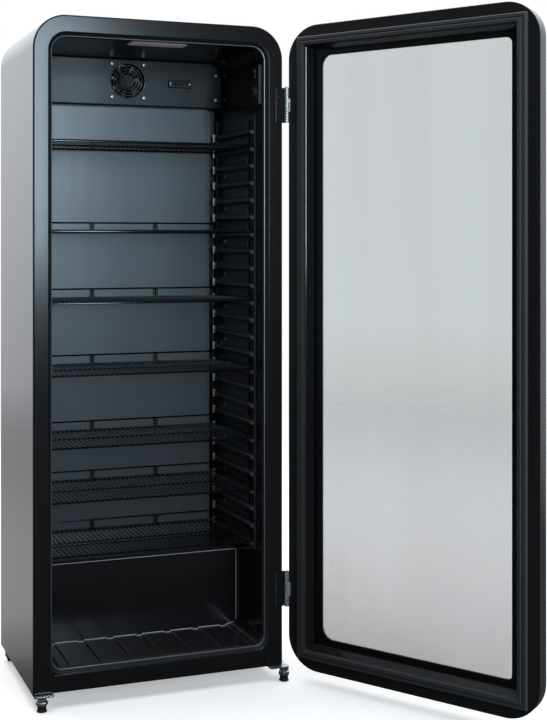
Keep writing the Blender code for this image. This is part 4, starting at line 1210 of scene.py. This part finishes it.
def leaf_plate(far_x, bottom, top, low_y, high_y):
    """A hinge leaf's flat, from LEAF_EDGE to far_x."""
    shape = outline((far_x - LEAF_EDGE) / 2, bottom, top, 0.001, 0.001, 3)
    return plate([shifted(shape, (far_x + LEAF_EDGE) / 2, 0)], low_y, high_y, "XZ", 0.0003)


def make_hinge(place, bottom):
    """The cabinet's leaf with two knuckles, the door's leaf with one between them, and the pin."""
    top = bottom + HINGE_HEIGHT
    thick = 0.0015
    front = -0.0003 - thick
    leaf = [leaf_plate(HALF + 0.0072, bottom, top, front, -0.0003)]
    # Painted highlight: a bright line down the leaf's inner edge.
    line = [(LEAF_EDGE, front + 0.0004, bottom + 0.001), (LEAF_EDGE, front + 0.0004, top - 0.001)]
    piece(f"hinge_{place}_leaf_highlight", tube(line, 0.0006, 8), "highlight_metal")
    curl = [(AXIS_X - 0.0030, front + 0.0003), (AXIS_X + 0.0020, -0.0003), (AXIS_X + 0.0046, -0.0040)]
    curl += [(AXIS_X + 0.0022, -0.0045), (AXIS_X - 0.0010, front - 0.0010)]
    parts = []
    for low in (bottom, top - KNUCKLE_HEIGHT):
        high = low + KNUCKLE_HEIGHT
        parts.append(barrel(low, high))
        leaf.append(plate([curl], low + 0.0003, high - 0.0003, "XY"))
    piece(f"hinge_{place}_leaf", leaf, "frame_paint")
    piece(f"hinge_{place}_fixed", parts, "zinc", [f"hinge_leaf_{place}"])
    places = [at(HALF - 0.0095, front, z) for z in (bottom + 0.020, top - 0.020)]
    piece(f"hinge_{place}_screws", copies(screw(0.0030), places), "frame_paint")

    seat = DOOR_INNER + 0.0003
    leaf = leaf_plate(HALF, bottom, top, seat, seat + thick)
    piece(f"hinge_{place}_door_leaf", leaf, "frame_paint", body="door")
    low = bottom + KNUCKLE_HEIGHT + 0.0006
    high = top - KNUCKLE_HEIGHT - 0.0006
    wing = [(HALF - 0.003, seat), (AXIS_X, seat), (AXIS_X + 0.0026, seat + 0.0016)]
    wing += [(AXIS_X, seat + thick), (HALF - 0.003, seat + thick)]
    parts = [barrel(low, high), plate([wing], low + 0.0003, high - 0.0003, "XY")]
    piece(f"hinge_{place}_moving", parts, "zinc", [f"door_leaf_{place}"], "door")

    head = [(0, bottom - 0.0006), (0.0017, bottom - 0.0006), (0.0018, bottom), (0.0018, top + 0.0003)]
    head += [(0.0040, top + 0.0003), (0.0040, top + 0.0010), (0.0032, top + 0.0019), (0, top + 0.0023)]
    pin = turned(head, (AXIS_X, AXIS_Y, 0), steps=24)
    piece(f"hinge_{place}_axle", pin, "chrome", [f"hinge_pin_{place}"])


# Feet and rollers.


def make_foot(side_name, foot, plate_low, plate_high):
    """Bracket, threaded stud with its hexagon, and the rubber pad."""
    half = (plate_high[0] - plate_low[0]) / 2
    middle = (plate_high[0] + plate_low[0]) / 2
    shape = shifted(outline(half, plate_low[1], plate_high[1], 0.004, 0.004, 6), middle, 0)
    hole = circle(foot.x, foot.y, 0.0045, 32)
    collar = circle(foot.x, foot.y, 0.0085, 32)
    parts = [plate([shape, hole], -0.0033, -0.0003, "XY", 0.0005)]
    parts.append(plate([collar, hole], -0.0130, -0.0030, "XY", 0.0008))
    web = [(-0.0085, -0.0030), (0.0300, -0.0030), (0.0085, -0.0115), (-0.0085, -0.0115)]
    for x in (foot.x - 0.0072, foot.x + 0.0072):
        parts.append(plate([shifted(web, foot.y, 0)], x - 0.0010, x + 0.0010, "YZ"))
    piece(f"foot_mount_{side_name}", parts, "foot_zinc", [f"foot_bracket_{side_name}"])

    rise = -foot.z
    pad_top = 0.0150
    thread = [(0, pad_top)]
    z = pad_top + 0.0072
    while z < rise - 0.0018:
        thread += [(0.0034, z), (0.0040, z + 0.0005), (0.0034, z + 0.0010)]
        z += 0.0010
    thread += [(0.0034, rise - 0.0008), (0, rise - 0.0007)]
    nut = plate([circle(0, 0, 0.0140, 6)], pad_top, pad_top + 0.0070, "XY", 0.0010, 3)
    rim = pad_top + 0.0012
    washer = turned([(0, pad_top), (0.0105, pad_top), (0.0105, rim), (0, rim)], steps=32)
    stud = moved(join([turned(thread, steps=28), nut, washer]), Matrix.Translation(foot))
    body = f"foot_{side_name}"
    piece(f"foot_screw_{side_name}", stud, "foot_zinc", [f"foot_stud_{side_name}"], body)

    pad = [(0, 0), (0.0100, 0), (0.0115, 0.0010), (0.0115, 0.0022), (0.0098, 0.0045), (0.0095, 0.0100)]
    pad += [(0.0100, 0.0105), (0.0100, 0.0118), (0.0092, 0.0130), (0.0085, 0.0147), (0, 0.0147)]
    rubber = turned(pad, foot, steps=36)
    piece(f"foot_rubber_{side_name}", rubber, "black_rubber", [f"foot_pad_{side_name}"], body)


def make_roller(side_name):
    """A rear roller and the sheet fork that carries it."""
    body = f"rear_roller_{side_name}"
    low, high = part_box(body)
    centre = (low + high) / 2 - ORIGIN
    wheel = [(0, -0.0125), (0.0026, -0.0125), (0.0026, -0.0072), (0.0060, -0.0070), (0.0068, -0.0058)]
    wheel += [(0.0128, -0.0058), (0.0140, -0.0070), (0.0152, -0.0066), (0.0160, -0.0052), (0.0160, -0.0010)]
    wheel += [(0.0155, -0.0004)]
    wheel += [(radius, -along) for radius, along in reversed(wheel)]
    piece(f"roller_{side_name}", turned(wheel, centre, "X", 40), "black_rubber", [body], body)
    cheek = 0.0110
    inner = 0.0090
    base = centre.z - 0.0055
    bent = [(-cheek, -0.0020), (-cheek, base), (-inner, base), (-inner, -0.0033), (-0.0080, -0.0023)]
    bent += [(0.0080, -0.0023), (inner, -0.0033), (inner, base), (cheek, base), (cheek, -0.0020)]
    bent += [(0.0095, -0.0003), (-0.0095, -0.0003)]
    sheet = plate([shifted(bent, centre.x, 0)], centre.y - 0.012, centre.y + 0.012, "XZ", 0.0003)
    bore = turned([(0, -0.02), (0.0030, -0.02), (0.0030, 0.02), (0, 0.02)], centre, "X", 24)
    fork = boolean(sheet, "DIFFERENCE", [bore])
    piece(f"roller_fork_{side_name}", fork, "galvanised", [f"roller_bracket_{side_name}"])


# Back and machine bay.


def make_back():
    """The rear sheet with pressed ribs, filling plugs and its screws."""
    edge = SKIN + 0.0003
    face = DEPTH - 0.0025
    shape = arch(HALF - edge, BAY_TOP, HEIGHT - edge, CORNER - edge)
    parts = [plate([shape], face - 0.0010, face, "XZ")]
    for x in (-0.2, -0.1, 0, 0.1, 0.2):
        parts.append(tube([(x, face - 0.0012, 0.30), (x, face - 0.0012, 1.38)], 0.0030, 12))
    piece("rear_sheet", parts, "galvanised", ["rear_panel"])
    plug = [(0, 0), (0.016, 0), (0.0155, 0.0014), (0.011, 0.0022), (0, 0.0022)]
    plugs = [turned(plug, (x, face, 0.255), "Y") for x in (-0.150, 0.150)]
    piece("filling_plugs", plugs, "black_plastic")
    rim = 0.018
    places = [at(x, face, 0.24 + 0.225 * i) for x in (rim - HALF, HALF - rim) for i in range(6)]
    places += [at(x, face, HEIGHT - rim) for x in (-0.16, 0, 0.16)]
    turn = Matrix.Rotation(pi, 4, "Z")
    piece("rear_screws", copies(screw(0.0036), [spot @ turn for spot in places]), "zinc")

    thick = 0.0008
    low = 0.0022
    back = DEPTH - 0.0045
    section = [(BAY_FRONT, low), (BAY_FRONT, BAY_TOP), (back, BAY_TOP), (back, BAY_TOP - thick)]
    section += [(BAY_FRONT + thick, BAY_TOP - thick), (BAY_FRONT + thick, low)]
    parts = [plate([section], -BAY_HALF, BAY_HALF, "YZ")]
    for side in (-1, 1):
        parts.append(side_box(side, BAY_HALF - thick, BAY_HALF, (BAY_FRONT, low), (back, BAY_TOP)))
        ends = ((face - 0.0010, low), (face, BAY_TOP - 0.0003))
        parts.append(side_box(side, BAY_HALF - thick, HALF - edge, *ends))
    piece("bay_lining", parts, "galvanised")


def pot_profile():
    """The compressor's shell: welded halves with a seam flange."""
    low = arc(0.050, 0.030, 0.018, -75, 0, 6)
    high = [(radius, 0.160 - z * 0.9) for radius, z in reversed(low)]
    seam = [(0.0680, 0.0800), (0.0705, 0.0805), (0.0705, 0.0835), (0.0680, 0.0840)]
    return [(0, 0.0100), (0.040, 0.0105)] + low + seam + high + [(0.032, 0.1545), (0, 0.1578)]


def make_compressor():
    """The shell on its foot with four bolts, the starter's cover and the water tray above."""
    squeeze = Matrix.Scale(1.20, 4, (1, 0, 0)) @ Matrix.Scale(0.84, 4, (0, 1, 0))
    centre = Matrix.Translation((0.130, 0.290, 0))
    parts = [moved(turned(pot_profile(), steps=48), centre @ squeeze)]
    parts.append(box((0.045, 0.245, 0.0058), (0.215, 0.335, 0.0095), 0.0012))
    piece("compressor_shell", parts, "compressor_paint", ["compressor"])
    bolt = [(0, 0.0096), (0.0075, 0.0096), (0.0065, 0.0150), (0, 0.0150)]
    bolts = [turned(bolt, (x, y, 0), steps=6) for x in (0.053, 0.207) for y in (0.253, 0.327)]
    piece("compressor_bolts", bolts, "zinc")
    cover = box((0.016, 0.262, 0.050), (0.0455, 0.318, 0.120), 0.004, 4)
    piece("starter_cover", cover, "black_plastic", ["relay_cover"])
    rim = rectangle(0.045, 0.228, 0.215, 0.352)
    tray = [plate([rim, rectangle(0.0468, 0.2298, 0.2132, 0.3502)], 0.166, 0.186, "XY", 0.0004)]
    tray.append(box((0.0455, 0.2285, 0.1640), (0.2145, 0.3515, 0.1662), 0.0005))
    piece("water_tray", tray, "black_plastic", ["drip_tray"])


def make_piping():
    """The wire condenser, the drier, the pipe that feeds it and the mains cord."""
    points = []
    for i in range(9):
        level = 0.020 + 0.020 * i
        ends = [(-0.245, 0.330, level), (-0.030, 0.330, level)]
        points += ends if i % 2 == 0 else ends[::-1]
    parts = [tube(rounded_path(points, 0.0095, 8), 0.0030, 12)]
    for i in range(15):
        x = -0.233 + 0.0135 * i
        for y in (0.3262, 0.3338):
            parts.append(tube([(x, y, 0.016), (x, y, 0.184)], 0.0008, 6))
    piece("condenser_tube", parts, "compressor_paint", ["condenser_coil"])

    drier = [(0, -0.048), (0.003, -0.048), (0.004, -0.042), (0.009, -0.036), (0.009, 0.036), (0.004, 0.042)]
    drier += [(0.003, 0.048), (0, 0.048)]
    piece("drier", turned(drier, (-0.020, 0.300, 0.110), steps=32), "copper", ["filter_drier"])
    feed = [(0.100, 0.232, 0.115), (0.100, 0.220, 0.115), (0.005, 0.220, 0.115), (0.005, 0.322, 0.180)]
    feed += [(-0.0265, 0.330, 0.180)]
    piece("feed_pipe", tube(rounded_path(feed, 0.008, 8), 0.0030, 14), "copper", ["discharge_pipe"])
    cord = [(0.030, 0.300, 0.0495), (0.030, 0.300, 0.014), (-0.150, 0.300, 0.014), (-0.225, 0.280, 0.014)]
    cord += [(-0.225, 0.245, 0.014), (-0.150, 0.232, 0.014), (-0.100, 0.245, 0.014)]
    piece("mains_cord", tube(rounded_path(cord, 0.014, 8), 0.0035, 14), "black_rubber", ["power_cord"])


# CAD nodes that stay: each gets a finish, and the metal sheets get a small bevel.


def dress_cad_nodes():
    """Gives each kept CAD node its look and, where named, the width of its bevel."""
    finishes = {
        "insulation_foam": ("foam", 0.0),
        "door_core": ("foam", 0.0),
        "evaporator_plate": ("aluminium", 0.0004),
        "base_plate": ("galvanised", 0.0003),
        "compressor_mount": ("galvanised", 0.0005),
        "glass_spacer": ("aluminium", 0.0),
        "inner_pane": ("glass", 0.0),
        "outer_pane": ("glass", 0.0),
    }
    for name, (look, edge) in finishes.items():
        node = frame["nodes"][name]
        node.data.materials.clear()
        node.data.materials.append(LOOKS[look])
        if edge:
            bevel = node.modifiers.new("edge", "BEVEL")
            bevel.width = edge
            bevel.segments = 2
            bevel.limit_method = "ANGLE"


# Floor, light and camera.

VIEWPOINT = Vector((-0.604, -2.6305, 1.0353))
YAW = 19.37
LENS = 61.22
SHIFT_X = 0.1299
SHIFT_Y = -0.1683


def make_floor():
    """A pale disc that fades into the backdrop, darker in reflections of its part in front."""
    bm = bmesh.new()
    bmesh.ops.create_circle(bm, cap_ends=True, segments=96, radius=7.0)
    mesh = bpy.data.meshes.new("floor")
    bm.to_mesh(mesh)
    bm.free()
    floor = bpy.data.objects.new("floor", mesh)
    bpy.context.scene.collection.objects.link(floor)
    floor.location = (0.3, 0.0, -0.0005)

    material = bpy.data.materials.new("floor_look")
    material.use_nodes = True
    tree = material.node_tree
    tree.nodes.clear()
    place = add_node(tree, "ShaderNodeTexCoord").outputs["Object"]
    distance = add_node(tree, "ShaderNodeVectorMath", {0: place}, operation="LENGTH").outputs["Value"]
    fade = ramp(tree, distance, 2.0, 6.5, interpolation_type="SMOOTHSTEP")
    camera = add_node(tree, "ShaderNodeLightPath").outputs["Is Camera Ray"]
    grain = spread(tree, noise(tree, place, 3.0), 0.88, 0.92)
    paper = add_node(tree, "ShaderNodeBsdfDiffuse", {"Color": grain})
    glow = add_node(tree, "ShaderNodeEmission", {"Strength": 0.40})
    pale = add_node(tree, "ShaderNodeAddShader", {0: paper.outputs[0], 1: glow.outputs[0]})
    along = add_node(tree, "ShaderNodeSeparateXYZ", {0: place}).outputs["Y"]
    dim = add_node(tree, "ShaderNodeBsdfDiffuse", {"Color": ramp(tree, along, 0.0, 0.7, 0.05, 0.34)})
    seen = add_node(tree, "ShaderNodeMixShader", {0: camera, 1: dim.outputs[0], 2: pale.outputs[0]})
    through = add_node(tree, "ShaderNodeBsdfTransparent")
    mix = add_node(tree, "ShaderNodeMixShader", {0: fade, 1: seen.outputs[0], 2: through.outputs[0]})
    add_node(tree, "ShaderNodeOutputMaterial", {"Surface": mix.outputs[0]})
    mesh.materials.append(material)


def make_world():
    """A studio: white behind the object, dim on the camera's side, pale to the camera itself."""
    world = bpy.data.worlds.new("studio")
    bpy.context.scene.world = world
    world.use_nodes = True
    tree = world.node_tree
    tree.nodes.clear()
    direction = add_node(tree, "ShaderNodeTexCoord").outputs["Generated"]
    axes = add_node(tree, "ShaderNodeSeparateXYZ", {0: direction})
    depth = ramp(tree, axes.outputs["Y"], -0.25, 0.75, 0.05, 0.95, interpolation_type="SMOOTHSTEP")
    rise = ramp(tree, axes.outputs["Z"], -0.20, 0.25, 0.45, 1.0)
    level = maths(tree, "MULTIPLY", depth, rise)
    camera = add_node(tree, "ShaderNodeLightPath").outputs["Is Camera Ray"]
    strength = add_node(tree, "ShaderNodeMix", {"Factor": camera, "A": level, "B": 1.0}).outputs["Result"]
    colour = blend_colours(tree, camera, (0.93, 0.96, 1.0), (1.0, 1.0, 1.0))
    background = add_node(tree, "ShaderNodeBackground", {"Color": colour, "Strength": strength})
    add_node(tree, "ShaderNodeOutputWorld", {"Surface": background.outputs[0]})


def add_light(name, place, target, size, power, colour=(1.0, 1.0, 1.0), mirrored=True):
    data = bpy.data.lights.new(name, "AREA")
    data.shape = "RECTANGLE"
    data.size, data.size_y = size
    data.energy = power
    data.color = colour
    light = bpy.data.objects.new(name, data)
    bpy.context.scene.collection.objects.link(light)
    light.location = place
    light.rotation_euler = (Vector(target) - Vector(place)).to_track_quat("-Z", "Y").to_euler()
    light.visible_glossy = mirrored


def make_lights():
    add_light("overhead", (0.3, 0.2, 4.2), (0.3, 0.2, 0.0), (5.0, 5.0), 215, mirrored=False)
    add_light("front_soft", (0.64, -3.3, 1.56), (0.1, 0.2, 1.2), (0.62, 1.35), 40, (0.70, 0.88, 1.0))


def make_camera():
    """The photograph's level camera; its lens shift holds only while it stands at VIEWPOINT."""
    data = bpy.data.cameras.new("camera")
    camera = bpy.data.objects.new("camera", data)
    bpy.context.scene.collection.objects.link(camera)
    camera.location = VIEWPOINT
    camera.rotation_euler = (radians(90), 0, radians(-YAW))
    data.sensor_width = 36.0
    data.lens = LENS
    data.clip_start = 0.05
    for path, value in (("shift_x", SHIFT_X), ("shift_y", SHIFT_Y)):
        driver = data.driver_add(path).driver
        variable = driver.variables.new()
        variable.name = "x"
        variable.type = "TRANSFORMS"
        variable.targets[0].id = camera
        variable.targets[0].transform_type = "LOC_X"
        driver.expression = f"{value} if abs(x - {VIEWPOINT.x:.4f}) < 0.001 else 0.0"
    bpy.context.scene.camera = camera


def build():
    make_wrap()
    make_front()
    make_liner()
    for side_name, side in (("left", -1), ("right", 1)):
        make_ladder(side_name, side)
        make_roller(side_name)
    make_duct_panel()
    make_fan_cover()
    make_fan()
    make_sensor_cover()
    make_lamp()
    make_controls()
    make_shelves()
    make_door()
    for place, bottom in HINGE_BOTTOMS.items():
        make_hinge(place, bottom)
    foot_left = -ORIGIN
    foot_right = Vector((HALF + 0.0030, -0.001, -ORIGIN.z))
    make_foot("left", foot_left, (-HALF + 0.001, -0.012), (-HALF + 0.045, 0.040))
    make_foot("right", foot_right, (HALF - 0.035, -0.012), (HALF + 0.0125, 0.040))
    make_back()
    make_compressor()
    make_piping()
    dress_cad_nodes()
    make_floor()
    make_world()
    make_lights()
    make_camera()
    bpy.context.scene.view_settings.view_transform = "Standard"


build()
